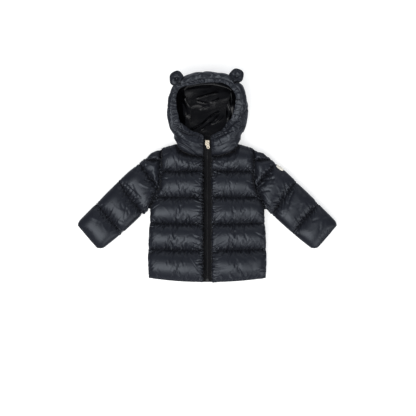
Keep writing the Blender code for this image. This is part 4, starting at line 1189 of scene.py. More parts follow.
    def closed(self, skin: Skin) -> Object:
        """Makes the tube with its hollow, which narrows inward from the cuff's mouth.

        Args:
            skin: The finished outer rings.

        Returns:
            The sleeve.
        """
        rows, columns = skin.outer.shape[:2]
        half = columns // 2
        sparse, mouth = np.arange(0, rows - 26, 6), np.arange(rows - 26, rows, 2)
        inner_rows = np.unique(np.concatenate([sparse, mouth, [rows - 1]]))
        rings = []
        for row in inner_rows:
            ring = skin.inner[row]
            top = ring[: half + 1]
            run = length_along(top)
            deep = (rows - 1 - row) / (rows - 1)
            inset = min(1.2 + 60.0 * deep, self.inset)
            at = inset + (run[-1] - 2 * inset) * run / run[-1]
            line = read_line(top, run, at)
            gape = self.slit + (self.mouth - self.slit) * max(0.0, 1.0 - 5.0 * deep)
            lens = 0.5 * gape * round_edge(np.minimum(at - inset, run[-1] - inset - at) + 0.1, 9.0)
            upper, lower = line + np.outer(lens, (0, 0, 1.0)), line - np.outer(lens, (0, 0, 1.0))
            rings.append(np.vstack([upper, lower[-2:0:-1]]))
        skin.inner = np.array(rings)
        return skin.close(SHELL)


# ---- hood


@dataclass
class Hood:
    """A padded bowl that opens upwards: two sides, a centre panel, lining, casing and ears."""

    body: Body
    crown: float = 13.0
    edge: float = 5.0
    seam_share: float = 0.72
    floor_z: float = 13.0
    lining_gap: float = 1.3
    lining_thickness: float = 1.0
    lean: float = 0.62
    shift: float = 1.2
    nape_half: float = 71.2
    shoulder_end: float = 121.5
    middle: tuple = (0.0, 160.0, 50.0)
    opening_middle: tuple = (0.0, 178.0)
    neck_limit: tuple = (
        *((70.0, 77.0), (84.0, 79.5), (95.0, 85.5), (105.0, 91.5)),
        *((115.0, 95.5), (125.0, 99.0), (150.0, 105.0), (170.0, 109.0)),
    )
    casing_height: float = 6.0
    casing_widths: tuple = (  # share of the way round from the right end of the zip, width
        (0.0, 8.0),
        (0.07, 10.0),
        (0.14, 16.0),
        (0.20, 18.0),
        (0.27, 13.0),
        (0.33, 9.0),
        (0.40, 10.0),
        (0.50, 12.0),
        (0.60, 12.0),
        (0.68, 15.0),
        (0.77, 20.0),
        (0.86, 17.0),
        (0.93, 10.0),
        (1.0, 8.0),
    )
    casing_leans: tuple = (  # share of the way round, lean into the opening
        (0.0, 0.3),
        (0.14, 0.65),
        (0.25, 0.8),
        (0.4, 0.85),
        (0.5, 0.9),
        (0.6, 0.85),
        (0.75, 0.8),
        (0.86, 0.65),
        (1.0, 0.3),
    )
    rays: tuple = (  # is_seam, stand, foot, side, rim on the left, rim on the right
        (True, 1.0, (10.4, 57.5, 28.5), (10.4, 76.0, 41.0), (10.4, 98.6, 45.0), (10.4, 98.6, 45.0)),
        (False, 1.0, (31.0, 60.0, 28.5), (31.0, 80.0, 46.0), (22.0, 104.5, 49.0), (23.0, 105.0, 49.0)),
        (False, 1.0, (52.0, 66.0, 28.0), (50.0, 88.0, 49.0), (39.0, 111.5, 54.0), (42.0, 110.0, 54.0)),
        (False, 0.9, (69.0, 76.0, 27.5), (65.0, 95.0, 49.0), (51.0, 120.0, 60.0), (57.0, 115.5, 60.0)),
        (False, 0.6, (77.5, 90.5, 25.5), (72.0, 104.0, 44.0), (58.5, 127.0, 66.0), (69.5, 122.0, 67.0)),
        (False, 0.0, (72.2, 101.0, 15.0), (78.0, 117.0, 44.0), (62.5, 132.0, 70.0), (77.0, 127.5, 73.0)),
        (True, 0.0, (71.6, 117.0, 13.0), (88.5, 131.0, 46.0), (66.5, 136.5, 73.0), (84.0, 133.5, 76.0)),
        (False, 0.0, (70.8, 138.0, 13.0), (91.3, 154.0, 48.0), (71.0, 142.5, 77.0), (88.5, 150.0, 81.0)),
        (True, 0.0, (70.0, 158.0, 13.0), (94.0, 177.0, 49.0), (76.0, 150.0, 80.0), (90.5, 173.0, 84.0)),
        (False, 0.0, (69.2, 176.0, 13.0), (91.0, 194.0, 49.0), (84.5, 172.0, 83.0), (89.0, 191.0, 85.0)),
        (True, 0.0, (68.4, 193.0, 13.0), (89.0, 210.0, 49.0), (87.5, 198.0, 85.0), (86.5, 208.0, 85.0)),
        (False, 0.0, (67.6, 205.0, 13.0), (81.5, 229.0, 49.0), (81.5, 221.0, 85.0), (80.5, 224.0, 85.0)),
        (True, 0.0, (66.8, 213.0, 13.0), (71.0, 241.0, 49.0), (68.0, 236.5, 84.0), (68.5, 235.0, 84.0)),
    )
    crown_rays: tuple = (  # foot, side, rim, from the right ear seam to the left one
        ((-66.2, 213.4, 13.0), (-70.4, 241.6, 49.0), (-67.8, 235.4, 84.0)),
        ((-50.0, 220.0, 13.0), (-55.0, 253.0, 49.0), (-49.0, 240.0, 84.0)),
        ((-26.0, 225.0, 13.0), (-29.0, 261.0, 49.0), (-26.0, 247.0, 84.0)),
        ((0.0, 227.0, 13.0), (0.0, 263.5, 49.0), (2.0, 251.0, 84.0)),
        ((26.0, 225.0, 13.0), (29.0, 261.0, 49.0), (32.0, 250.5, 84.0)),
        ((50.0, 220.0, 13.0), (55.0, 253.0, 49.0), (54.0, 244.5, 84.0)),
        ((66.2, 213.4, 13.0), (70.4, 241.6, 49.0), (67.4, 237.2, 84.0)),
    )

    def section(
        self, foot: np.ndarray, side: np.ndarray, rim: np.ndarray, stand: float, steps: np.ndarray
    ) -> np.ndarray:
        """Points of one upright section of the hood's inner face.

        Args:
            foot: Where the section meets the neckline or the floor.
            side: Its widest point.
            rim: Where it ends at the face opening.
            stand: How upright its foot is, from 0 to 1.
            steps: Positions from foot to rim, from 0 to 1.

        Returns:
            One point for each step.
        """
        across = np.array([side[0], side[1], foot[2]])
        upright = np.array([foot[0], foot[1], side[2]])
        low_corner = (1 - stand) * across + stand * upright
        lean = np.array([side[0], side[1], side[2] + self.lean * (rim[2] - side[2])])
        level = np.array([*(0.5 * (side[:2] + rim[:2])), max(side[2], rim[2]) + 1.5])
        high_corner = (1 - stand) * lean + stand * level
        angle = (math.pi * np.minimum(steps, 0.5))[:, None]
        low = low_corner + (foot - low_corner) * (1 - np.sin(angle))
        low = low + (side - low_corner) * (1 - np.cos(angle))
        part = np.maximum(2 * steps - 1, 0.0)[:, None]
        high = (1 - part) ** 2 * side + 2 * part * (1 - part) * high_corner + part**2 * rim
        return np.where((steps < 0.5)[:, None], low, high)

    def outward(self, grid: np.ndarray, rounds: int = 6) -> np.ndarray:
        """Smooth unit normals of a wall, away from the inside of the hood."""
        row, column = len(grid) // 2, grid.shape[1] // 2
        normal = normals_of(grid, grid[row, column] - np.array(self.middle))
        return unit(blurred(normal, rounds))

    def side(self, side: Side) -> Skin:
        """The skin of one side of the hood, with its half of the chin.

        Args:
            side: Which side.

        Returns:
            Its outer and inner grids, from the zip to the ear seam and from foot to rim.
        """
        sign = side.value
        table = []
        for _, stand, foot, wide, rim_left, rim_right in self.rays:
            rim = rim_left if side is Side.LEFT else rim_right
            flip = np.array([sign, 1.0, 1.0])
            slump = np.array([self.shift * (1.0 - stand), 0.0, 0.0])
            table.append([*(flip * foot), *(flip * wide + slump), *(flip * rim), stand])
        seams = [index for index, row in enumerate(self.rays) if row[0]]
        counts = (56, 15, 15, 14)
        stations, seam_rows = [], []
        for number, (start, end) in enumerate(zip(seams, seams[1:])):
            seam_rows.append(len(stations))
            count = counts[number]
            stations += [
                (start + (end - start) * step / count, step / count, number) for step in range(count)
            ]
        stations.append((float(seams[-1]), 1.0, len(seams) - 2))
        rows = along(np.array(table), [station[0] for station in stations])
        steps = np.linspace(0.0, 1.0, 44)
        grid = np.array(
            [
                self.section(row[0:3], row[3:6], row[6:9], float(np.clip(row[9], 0, 1)), steps)
                for row in rows
            ]
        )
        normal = self.outward(grid)
        number = np.array([station[2] for station in stations])
        fraction = np.array([station[1] for station in stations])[:, None]
        low = np.where(number == 0, 0.0, self.seam_share)[:, None]
        high = np.where(number < 3, self.seam_share, 0.1)[:, None]
        ends = round_edge(steps, 0.22) * round_edge(1.0 - steps, 0.3)
        uneven = drift(run_of(grid, 0), run_of(grid, 1), 30.0, 31 + sign)
        fill = (self.crown - self.edge) * channel(fraction, low, high)
        thick = self.edge + fill * ends[None, :] * (1 + 0.1 * uneven)
        outer = grid + normal * thick[..., None]
        outer[0, :, 0] = grid[0, :, 0]
        over = (number == 0)[:, None] & (steps < 0.56)[None, :]
        over = over & (np.abs(outer[..., 0]) < self.shoulder_end) & (outer[..., 2] < 70)
        clear = self.body.front_top(np.abs(outer[..., 0])) + 2 * self.body.gap
        outer[..., 1] = np.where(over, np.maximum(outer[..., 1], clear), outer[..., 1])
        outer[..., 2] = np.maximum(outer[..., 2], 0.0)
        name = f"hood_side_{side.label}_shell"
        return Skin(name, outer, grid, normal, tuple(seam_rows[1:]), swell=0.01, cap=1.4)

    def centre(self) -> Skin:
        """The skin of the centre panel, from the nape over the floor and crown to the brow."""
        columns = np.linspace(0, len(self.crown_rays) - 1, 53)
        flat = np.array([[*foot, *side, *rim] for foot, side, rim in self.crown_rays], float)
        floor_parts = np.arange(52) / 52
        steps = np.linspace(0.0, 1.0, 46)
        rows = []
        for ray in along(flat, columns):
            foot = ray[0:3]
            nape_x = self.nape_half * foot[0] / abs(self.crown_rays[0][0][0])
            nape_y = float(self.body.back_top(np.array(nape_x))) + 2 * self.body.gap
            nape = np.array([nape_x, nape_y, self.body.inside_z - 1.0])
            floor = nape + (foot - nape) * floor_parts[:, None]
            ramp = 1 - np.minimum(floor_parts / 0.2, 1.0)
            floor[:, 2] = self.floor_z + (nape[2] - self.floor_z) * ramp**2
            rows.append(np.vstack([floor, self.section(foot, ray[3:6], ray[6:9], 0.0, steps)]))
        grid = np.array(rows)
        normal = self.outward(grid)
        down = smooth_step(1.0 - np.arange(grid.shape[1]) / 14.0)[None, :, None]
        normal = unit(normal * (1 - down) + np.array([0.0, 0.0, -1.0]) * down)
        place = np.arange(len(grid))
        across = round_edge(np.minimum(place, len(grid) - 1 - place) / (len(grid) - 1), 0.16)[:, None]
        step = np.concatenate([np.zeros(52), steps])
        coarse = np.concatenate([floor_parts * 6.0, 6.0 + 9.0 * steps])
        ends = round_edge((coarse + 0.3) / 16.0, 0.16) * round_edge(1.0 - step, 0.14)
        uneven = drift(run_of(grid, 0), run_of(grid, 1), 34.0, 41)
        fill = (self.crown - 2.0 - self.edge) * ends[None, :]
        thick = self.edge + fill * (0.2 + 0.8 * across) * (1 + 0.08 * uneven)
        outer = grid + normal * thick[..., None]
        outer[..., 2] = np.maximum(outer[..., 2], 0.0)
        return Skin("hood_centre_shell", outer, grid, normal, (), swell=0.01, cap=1.4)

    @staticmethod
    def roll(skin: Skin, height: float, width: float, share: np.ndarray | float = 1.0) -> None:
        """Raises a padded roll just outside the face opening.

        Args:
            skin: A wall of the hood.
            height: How high the roll stands in millimetres.
            width: Its width in millimetres.
            share: Share of the height for each row.
        """
        across = run_of(skin.inner, 1)
        away = across[:, -1:] - across
        rise = height * np.sin(math.pi * np.clip(away / width, 0.0, 1.0) ** 0.8) ** 2
        skin.outer[..., 2] += rise * np.broadcast_to(share, len(rise))[:, None]

    def taper(self, skin: Skin, side: Side) -> None:
        """Draws a wall in towards the neck, where the hood is sewn to the shoulders.

        Args:
            skin: The wall.
            side: Which side it is.
        """
        across, y = np.abs(skin.outer[..., 0]), skin.outer[..., 1]
        limit = curve_value(self.neck_limit, y) + (2.0 if side is Side.LEFT else 0.0)
        near = smooth_step((y - 76.0) / 6.0) * smooth_step((150.0 - y) / 20.0)
        excess = np.maximum(across - limit, 0.0) * near
        skin.outer[..., 0] -= side.value * 0.92 * excess

    def floor_level(self, y: np.ndarray) -> np.ndarray:
        """Height under the lining, which climbs on the padding towards the nape and the crown."""
        return self.floor_z + np.maximum(7.0 * np.clip((205.0 - y) / 110.0, 0.0, 1.0), 4.0)

    def lining(
        self, skin: Skin, name: str, slump: float, creases: list[Crease], seed: int, narrow: float = 1.0
    ) -> Object:
        """The lining inside one wall, made from the wall's own points.

        Args:
            skin: The wall before it is dressed.
            name: Name of the piece.
            slump: How far in millimetres it hangs into the hood along the floor.
            creases: Folds to press into it.
            seed: Number that sets its swell.
            narrow: Share of the wall's width that it keeps.

        Returns:
            The lining as a closed sheet.
        """
        times = 1 if slump > 0 else 2
        face = finer(skin.inner * (narrow, 1.0, 1.0), times)
        inward = unit(finer(-skin.out, times))
        near = face + inward * self.lining_gap
        across = run_of(face, 1)
        if slump > 0:
            foot_y = face[:, 0, 1]
            rows = smooth_step((foot_y - 90.0) / 34.0) * (0.25 + 0.75 * smooth_step((226.0 - foot_y) / 40.0))
            share = np.linspace(0.0, 1.0, face.shape[1])
            sag = slump * rows[:, None] * smooth_step((0.86 - share) / 0.86)[None, :]
            toward = np.array(self.middle[:2]) - near[..., :2]
            near[..., :2] += unit(toward) * sag[..., None]
            level = self.floor_level(near[..., 1]) + 3.4
            near[..., 2] = np.where(sag > 0.5, np.maximum(near[..., 2], level), near[..., 2])
            inward = unit(blurred(inward + np.array([0.0, 0.0, 0.8]) * (sag / slump)[..., None], 1))
        else:
            lowest = self.floor_level(near[..., 1]) + self.lining_gap * (near[..., 2] < 40)
            near[..., 2] = np.maximum(near[..., 2], lowest)
        edge = round_edge(np.minimum(across, across[:, -1:] - across), 16.0)
        place = (across, run_of(face, 0))
        lift = 0.9 + (0.9 * drift(*place, 26.0, seed) + 0.5 * crumple(*place, 15.0, seed)) * edge
        for crease in creases:
            lift = lift + crease.lift(near[..., 0], near[..., 1]) * (near[..., 2] < 60)
        far = near + inward * (self.lining_thickness + np.maximum(lift, -0.6))[..., None]
        made = Skin(name, far, near, inward, floor=False).close(LINING)
        return made

    def casing(self, walls: list[tuple[np.ndarray, np.ndarray]]) -> Object:
        """The gathered elastic casing round the face opening.

        Args:
            walls: Inner grid and normals of each wall, in order round the opening.

        Returns:
            The casing as a closed tube.
        """
        rows = []
        for grid, normal in walls:
            heading = unit(grid[:, -1] - grid[:, -4])
            rows.append(np.hstack([grid[:, -1] + normal[:, -1] * (self.edge / 2), heading, normal[:, -1]]))
        rows = np.vstack(rows)
        for _ in range(5):
            rows[1:-1] = 0.25 * rows[:-2] + 0.5 * rows[1:-1] + 0.25 * rows[2:]
        run = length_along(rows[:, :3])
        at = np.linspace(0.0, run[-1], int(run[-1] / 0.9))
        line = read_line(rows, run, at)
        width = curve_value(self.casing_widths, at / run[-1])[:, None]
        lean = curve_value(self.casing_leans, at / run[-1])[:, None]
        inward = np.zeros_like(line[:, :3])
        inward[:, :2] = unit(np.array(self.opening_middle) - line[:, :2])
        ahead = unit((1.0 - lean) * unit(line[:, 3:6]) + lean * (inward - np.array([0.0, 0.0, 0.45])))
        out = square_to(line[:, 6:9], ahead)
        flip = np.sign(np.sum(out * np.array([0, 0, 1.0]), axis=1, keepdims=True) + 1e-6)
        out = unit(out * flip + lean * np.array([0, 0, 1.0]))
        out = square_to(out, ahead)
        centre = line[:, :3] + ahead * (width / 2 - 1.2)
        angles = np.linspace(0, 2 * math.pi, 41)[:-1]
        level = np.abs(np.cos(angles)) ** 0.8 * np.sign(np.cos(angles))
        stand = np.abs(np.sin(angles)) ** 0.8 * np.sign(np.sin(angles))
        across = level[None, :] * width / 2
        folds = Gathers(spacing=9.0, reach=400.0, depth=2.0, width=2.2, slant=0.35, seed=5, scatter=0.6)
        rise = folds.lift(at[:, None], across + width / 2)
        rise = rise + 1.7 * crumple(at[:, None] / 1.5, across, 15.0, 9) * np.clip(width / 14.0, 0.5, 1.0)
        body = 0.5 * self.casing_height * stand[None, :]
        rise = rise * np.abs(stand)[None, :] * np.sign(stand)[None, :]
        wave = 0.7 * drift(at, np.zeros(len(at)), 9.0, 3)[:, None]
        points = centre[:, None] + ahead[:, None] * (across + wave * np.abs(level)[None, :])[..., None]
        points = points + out[:, None] * (body + rise)[..., None]
        count = points.shape[1]
        faces = grid_faces(len(points), count, True).tolist()
        faces += [list(range(count)), list(range((len(points) - 1) * count, len(points) * count))]
        made = mesh_object("face_opening_casing", points.reshape(-1, 3), faces, SHELL)
        face_outward(made)
        return made


@dataclass
class Ear:
    """A round padded ear with a dimple sewn through its middle."""

    name: str
    centre: tuple[float, float, float]
    heading: float
    tilt: float
    seed: int
    radius: float = 20.0
    thickness: float = 13.0
    profile: tuple = (
        *((0.0, 0.1), (2.6, 0.3), (6.0, 0.9), (10.5, 1.05)),
        *((15.0, 0.88), (18.6, 0.45), (20.0, 0.0)),
    )

    def make(self, wall: BVHTree) -> Object:
        """Makes the ear and seats it on the hood.

        Args:
            wall: The hood's outer face in metres.

        Returns:
            The ear.
        """
        half = self.thickness / 2
        outline = [(radius, share * half) for radius, share in self.profile]
        outline += [(radius, -height) for radius, height in outline[-2::-1]]
        dense = along(outline, np.linspace(0, len(outline) - 1, 47))
        dense[:, 0] = np.maximum(dense[:, 0], 0.0)
        turns = np.linspace(0, 2 * math.pi, 97)[:-1]
        radius, height = dense[:, [0]], dense[:, [1]]
        folds = Gathers(spacing=0.62, reach=15.0, depth=0.9, width=0.16, slant=0.012, seed=self.seed)
        rise = folds.lift(turns[None, :], np.maximum(radius - 3.0, 0.0))
        rise = rise * np.clip((radius - 2.0) / 4.0, 0.0, 1.0)
        rim = Gathers(spacing=0.45, reach=9.0, depth=0.7, width=0.11, slant=0.01, seed=self.seed + 3)
        inside = self.radius - radius
        rise = rise + rim.lift(turns[None, :], inside) * round_edge(inside + 0.2, 4.0)
        across, aside = radius * np.cos(turns), radius * np.sin(turns)
        rise = rise + 0.9 * crumple(across, aside, 8.0, self.seed + 5) * np.clip(radius / 6.0, 0.0, 1.0)
        height = height + np.sign(height) * rise * np.clip(np.abs(height) / 2.0, 0.0, 1.0)
        bulge = 1.0 + 0.05 * np.sin(2 * turns + self.seed) + 0.03 * np.sin(5 * turns + 2 * self.seed)
        swing = np.sin(np.array([1.3, 2.9]) * self.seed)[:, None, None]
        off = 2.6 * (1.0 - np.clip(radius / self.radius, 0.0, 1.0)) ** 2 * swing
        points = np.stack([across * bulge + off[0], aside * bulge + off[1], height * np.ones_like(turns)], -1)
        place = (
            Matrix.Translation(Vector(self.centre))
            @ Matrix.Rotation(math.radians(self.heading), 4, "Z")
            @ Matrix.Rotation(math.radians(self.tilt), 4, "Y")
        )
        turn = np.array(place)
        points = points.reshape(-1, 3) @ turn[:3, :3].T + turn[:3, 3]
        away = Vector(turn[:3, 0])
        for index, point in enumerate(points):
            hit, normal, *_ = wall.ray_cast(Vector(point) * MM, away, 30 * MM)
            if hit is not None and normal.dot(away) > 0:
                points[index] = np.array(hit) / MM - np.array(away) * 0.8
        rows, count = dense.shape[0], len(turns)
        faces = grid_faces(rows, count, True).tolist()
        made = mesh_object(self.name, points, faces, SHELL)
        face_outward(made)
        return made


# ---- zip


@dataclass
class Zip:
    """The teeth between the tapes, and the tapes. The box, slider and pull are the frame's own."""

    inside_z: float = 25.0
    lift: float = 2.0
    rise: float = 19.0
    top_y: float = 99.0
    bend_y: float = 42.0
    hem_y: float = -272.3
    slider_y: float = 88.0
    tape: float = 1.0
    tape_outer: float = 10.35
    box_half: float = 3.6
    post_half: float = 2.0
    pitch: float = 1.35

    def z(self, y: np.ndarray) -> np.ndarray:
        """Height of the underside of the tape."""
        part = smooth_step((y - self.bend_y) / (self.top_y - self.bend_y))
        return self.inside_z + self.lift + self.rise * part

    def tape_strip(self, side: Side) -> Object:
        """Makes one woven tape, with the rib that the teeth are moulded on.

        Args:
            side: Which side of the chain it lies on.

        Returns:
            The tape as a closed strip.
        """
        y = np.arange(self.hem_y - 7.5, self.top_y - 1.0 + 0.01, 0.9)
        near = np.where(y < self.hem_y, self.box_half, np.where(y > self.slider_y + 4.0, self.post_half, 0.3))
        share = np.linspace(0.0, 1.0, 12)
        x = near[:, None] + (self.tape_outer - near[:, None]) * share
        base = np.broadcast_to(self.z(y)[:, None], x.shape)
        rib = 0.35 * np.exp(-(((x - 4.6) / 0.8) ** 2)) + 0.12 * np.sin(y * 3.49)[:, None] * (x > 4.0)
        lower = np.stack([side.value * x, np.broadcast_to(y[:, None], x.shape), base], -1)
        upper = lower + (0.0, 0.0, self.tape) + rib[..., None] * (0.0, 0.0, 1.0)
        up = np.zeros_like(upper)
        up[..., 2] = 1.0
        made = Skin(f"woven_tape_{side.label}", upper, lower, up, floor=False).close(TAPE)
        return made

    def teeth(self) -> Object:
        """Makes the two interlocked rows of moulded teeth."""
        half = np.array([1.9, 0.5, 0.95])
        block = np.array([(x, y, z) for z in (-1, 1) for y in (-1, 1) for x in (-1, 1)], float)
        slabs = [block * (1, 0.55, 0.7), block * (0.8, 1, 0.7), block * (0.8, 0.55, 1)]
        rounded = np.concatenate(slabs) * half
        y = np.arange(self.hem_y, self.slider_y - 0.6, self.pitch)
        sign = np.where(np.arange(len(y)) % 2, 1.0, -1.0)
        slope = np.arctan2(self.z(y + 1) - self.z(y - 1), 2.0)
        points, faces = [], []
        hull = self._hull(rounded)
        for row, (at, way, turn) in enumerate(zip(y, sign, slope)):
            local = rounded + (0.45 * way, 0.0, 0.0)
            height = local[:, 2] + 0.95
            back = local[:, 1] * math.cos(turn) - height * math.sin(turn)
            up = local[:, 1] * math.sin(turn) + height * math.cos(turn)
            points.append(np.stack([local[:, 0], at + back, self.z(at) + self.tape + 0.3 + up], -1))
            faces += (hull + row * len(rounded)).tolist()
        return mesh_object("zip_teeth", np.vstack(points), faces, MOULDING, smooth=False)

    @staticmethod
    def _hull(points: np.ndarray) -> np.ndarray:
        """Triangles of the convex skin over some points."""
        work = bmesh.new()
        for point in points:
            work.verts.new(point)
        work.verts.ensure_lookup_table()
        bmesh.ops.convex_hull(work, input=work.verts)
        bmesh.ops.recalc_face_normals(work, faces=work.faces)
        bmesh.ops.triangulate(work, faces=work.faces)
        work.verts.index_update()
        found = np.array([[corner.index for corner in face.verts] for face in work.faces])
        work.free()
        return found


@dataclass
class Stitching:
    """Lockstitches of polyester thread that lie along sewn lines."""

    pitch: float = 3.2
    length: float = 2.3
    radius: float = 0.32
    paths: list = field(default_factory=list)

    def sew(self, line: np.ndarray, up: np.ndarray) -> None:
        """Adds a row of stitches along a line of points with their outward directions."""
        self.paths.append((line, up))

    def make(self, name: str) -> Object:
        """Makes all stitches as one piece.

        Args:
            name: Name of the piece.

        Returns:
            The piece.
        """
        rings = ((-0.5, 0.35), (-0.3, 1.0), (0.3, 1.0), (0.5, 0.35))
        sides = 4
        angles = (np.arange(sides) + 0.5) * 2 * math.pi / sides
        points, faces, start = [], [], 0
        for line, up in self.paths:
            run = length_along(line)
            at = np.arange(self.pitch / 2, run[-1], self.pitch)
            for along_by, wide in rings:
                centre = read_line(line, run, at + along_by * self.length)
                ahead = unit(read_line(line, run, at + 1.0) - read_line(line, run, at - 1.0))
                over = square_to(read_line(up, run, at), ahead)
                across = np.cross(ahead, over)
                ring = centre[:, None] + self.radius * wide * (
                    np.cos(angles)[None, :, None] * across[:, None]
                    + np.sin(angles)[None, :, None] * over[:, None]
                )
                ring[..., 2] = np.maximum(ring[..., 2], 0.0)
                points.append(ring)
            stitches = len(at)
            block = np.stack(points[-4:], axis=1).reshape(-1, 3)
            points = points[:-4] + [block]
            size = len(rings) * sides
            for stitch in range(stitches):
                first = start + stitch * size
                faces += grid_faces(len(rings), sides, True, start=first).tolist()
                faces += [list(range(first, first + sides)), list(range(first + size - sides, first + size))]
            start += stitches * size
        made = mesh_object(name, np.vstack(points), faces, THREAD)
        face_outward(made)
        self.paths.clear()
        return made


@dataclass
class Badge:
    """A felt patch with rounded corners, sewn over the sleeve's outer fold."""

    position: float = 4.47  # of its centre, counted in the lines of the sleeve's table
    half: tuple[float, float] = (11.2, 12.0)
    thickness: float = 1.5
    lift: float = 0.3

    def make(self, skin: Skin, row: float) -> Object:
        """Makes the patch on the finished surface of the sleeve.

        Args:
            skin: The sleeve's dense grid, whose first column lies on the fold.
            row: Row of the patch's centre.

        Returns:
            The patch as a closed piece.
        """
        columns = skin.outer.shape[1]
        step_down = float(np.linalg.norm(skin.outer[int(row) + 1, 0] - skin.outer[int(row), 0]))
        step_across = float(np.linalg.norm(skin.outer[int(row), 3] - skin.outer[int(row), 2]))
        radius = np.linspace(0.0, 1.0, 22)[:, None]
        turns = np.linspace(0, 2 * math.pi, 121)[:-1][None, :]
        square = [np.abs(wave(turns)) ** 0.55 * np.sign(wave(turns)) for wave in (np.cos, np.sin)]
        down = row + radius * square[0] * self.half[0] / step_down
        across = radius * square[1] * self.half[1] / step_across
        low, left = np.floor(down).astype(int), np.floor(across).astype(int)
        part, side = (down - low)[..., None], (across - left)[..., None]

        def read(grid: np.ndarray) -> np.ndarray:
            """The grid's values at the patch's points."""
            first = grid[low, left % columns] * (1 - side) + grid[low, (left + 1) % columns] * side
            second = grid[low + 1, left % columns] * (1 - side) + grid[low + 1, (left + 1) % columns] * side
            return first * (1 - part) + second * part

        ground, up = read(skin.outer), unit(read(skin.out))
        bead = round_edge((1.0 - radius) * self.half[0], 1.4)[..., None]
        ring = 0.25 * np.exp(-(((1.0 - radius) * self.half[0] - 2.4) ** 2) / 0.3)[..., None]
        top = ground + up * (self.lift + self.thickness * bead - ring * bead)
        bottom = ground - up * 0.4
        made = Skin("felt_patch", top, bottom[[0, -1]], up, wrap=True, floor=False).close(FELT)
        return made


# ---- studio


@dataclass
class Studio:
    """A pale floor, a broad soft light and the camera straight above."""

    camera_height: float = 4.0
    focus_z: float = 25.0

    def floor(self) -> None:
        """Makes the floor."""
        size = 6000.0
        points = [(-size, -size, -0.4), (size, -size, -0.4), (size, size, -0.4), (-size, size, -0.4)]
        made = mesh_object("studio_floor", np.array(points), [[0, 1, 2, 3]], FLOOR, smooth=False)
        made.visible_glossy = False  # flags keep the table out of the cloth's shine

    def light(self, name: str, place: tuple, aim: tuple, size: tuple[float, float], power: float) -> None:
        """Makes a softbox.

        Args:
            name: Name of the light.
            place: Where it hangs, in metres.
            aim: What it looks at, in metres.
            size: Its width and height in metres.
            power: Its power in watts.
        """
        lamp = bpy.data.lights.new(name, "AREA")
        lamp.shape, lamp.size, lamp.size_y, lamp.energy = "RECTANGLE", size[0], size[1], power
        made = bpy.data.objects.new(name, lamp)
        made.location = place
        made.rotation_mode = "QUATERNION"
        made.rotation_quaternion = (Vector(aim) - Vector(place)).to_track_quat("-Z", "Y")
        made.visible_camera = False
        bpy.context.scene.collection.objects.link(made)

    def camera(self) -> None:
        """Makes the camera that sees what the photograph shows."""
        lens = bpy.data.cameras.new("camera")
        lens.sensor_width = 36.0
        width = PHOTO_PIXELS * PHOTO_MM * MM
        distance = self.camera_height - self.focus_z * MM
        lens.lens = lens.sensor_width * distance / width
        made = bpy.data.objects.new("camera", lens)
        made.location = (PHOTO_CENTRE[0] * MM, PHOTO_CENTRE[1] * MM, self.camera_height)
        bpy.context.scene.collection.objects.link(made)
        bpy.context.scene.camera = made

    def world(self) -> None:
        """Makes the dim even room."""
        world = bpy.data.worlds.new("room")
        bpy.context.scene.world = world
        world.use_nodes = True
        world.node_tree.nodes["Background"].inputs[0].default_value = linear("#e6edff")
        world.node_tree.nodes["Background"].inputs[1].default_value = 0.42

    def build(self) -> None:
        """Sets up the whole studio."""
        self.floor()
        self.world()
        self.light("softbox_high", (-0.7, -0.85, 2.2), (-0.1, -0.1, 0.0), (2.3, 1.9), 80.0)
        self.light("softbox_low", (1.5, -1.9, 0.95), (0.0, -0.05, 0.05), (2.4, 1.2), 29.0)
        self.light("softbox_back", (0.6, 1.8, 0.95), (0.0, 0.0, 0.05), (2.4, 0.9), 9.0)
        self.camera()
        bpy.context.scene.view_settings.view_transform = "Standard"


# ---- main


def dress_quilt(skin: Skin, seed: int, above: Gathers, below: Gathers) -> None:
    """Adds the gathers above and below each quilting seam of a skin.

    Args:
        skin: The skin to dress.
        seed: Number that sets the folds.
        above: Folds on the far side of each seam.
        below: Folds on the near side.
    """
    for number, row in enumerate(skin.seam_rows):
        run, away = skin.from_row(row)
        for kind, sign in ((above, 1.0), (below, -1.0)):
            folds = replace(kind, seed=seed + 7 * number + int(sign))
            skin.push(folds.lift(run, sign * away))


def dress_row(skin: Skin, row: int, folds: Gathers) -> None:
    """Adds gathers that run away from the first or last row of a skin, into it."""
    run, away = skin.from_row(row)
    skin.push(folds.lift(run, away if row == 0 else -away))


def dress_column(skin: Skin, column: int, folds: Gathers) -> None:
    """Adds gathers that run away from a column of a skin, on the side of its other columns."""
    run, away = skin.from_column(column)
    sign = 1.0 if column == 0 else -1.0
    skin.push(folds.lift(run, sign * away))


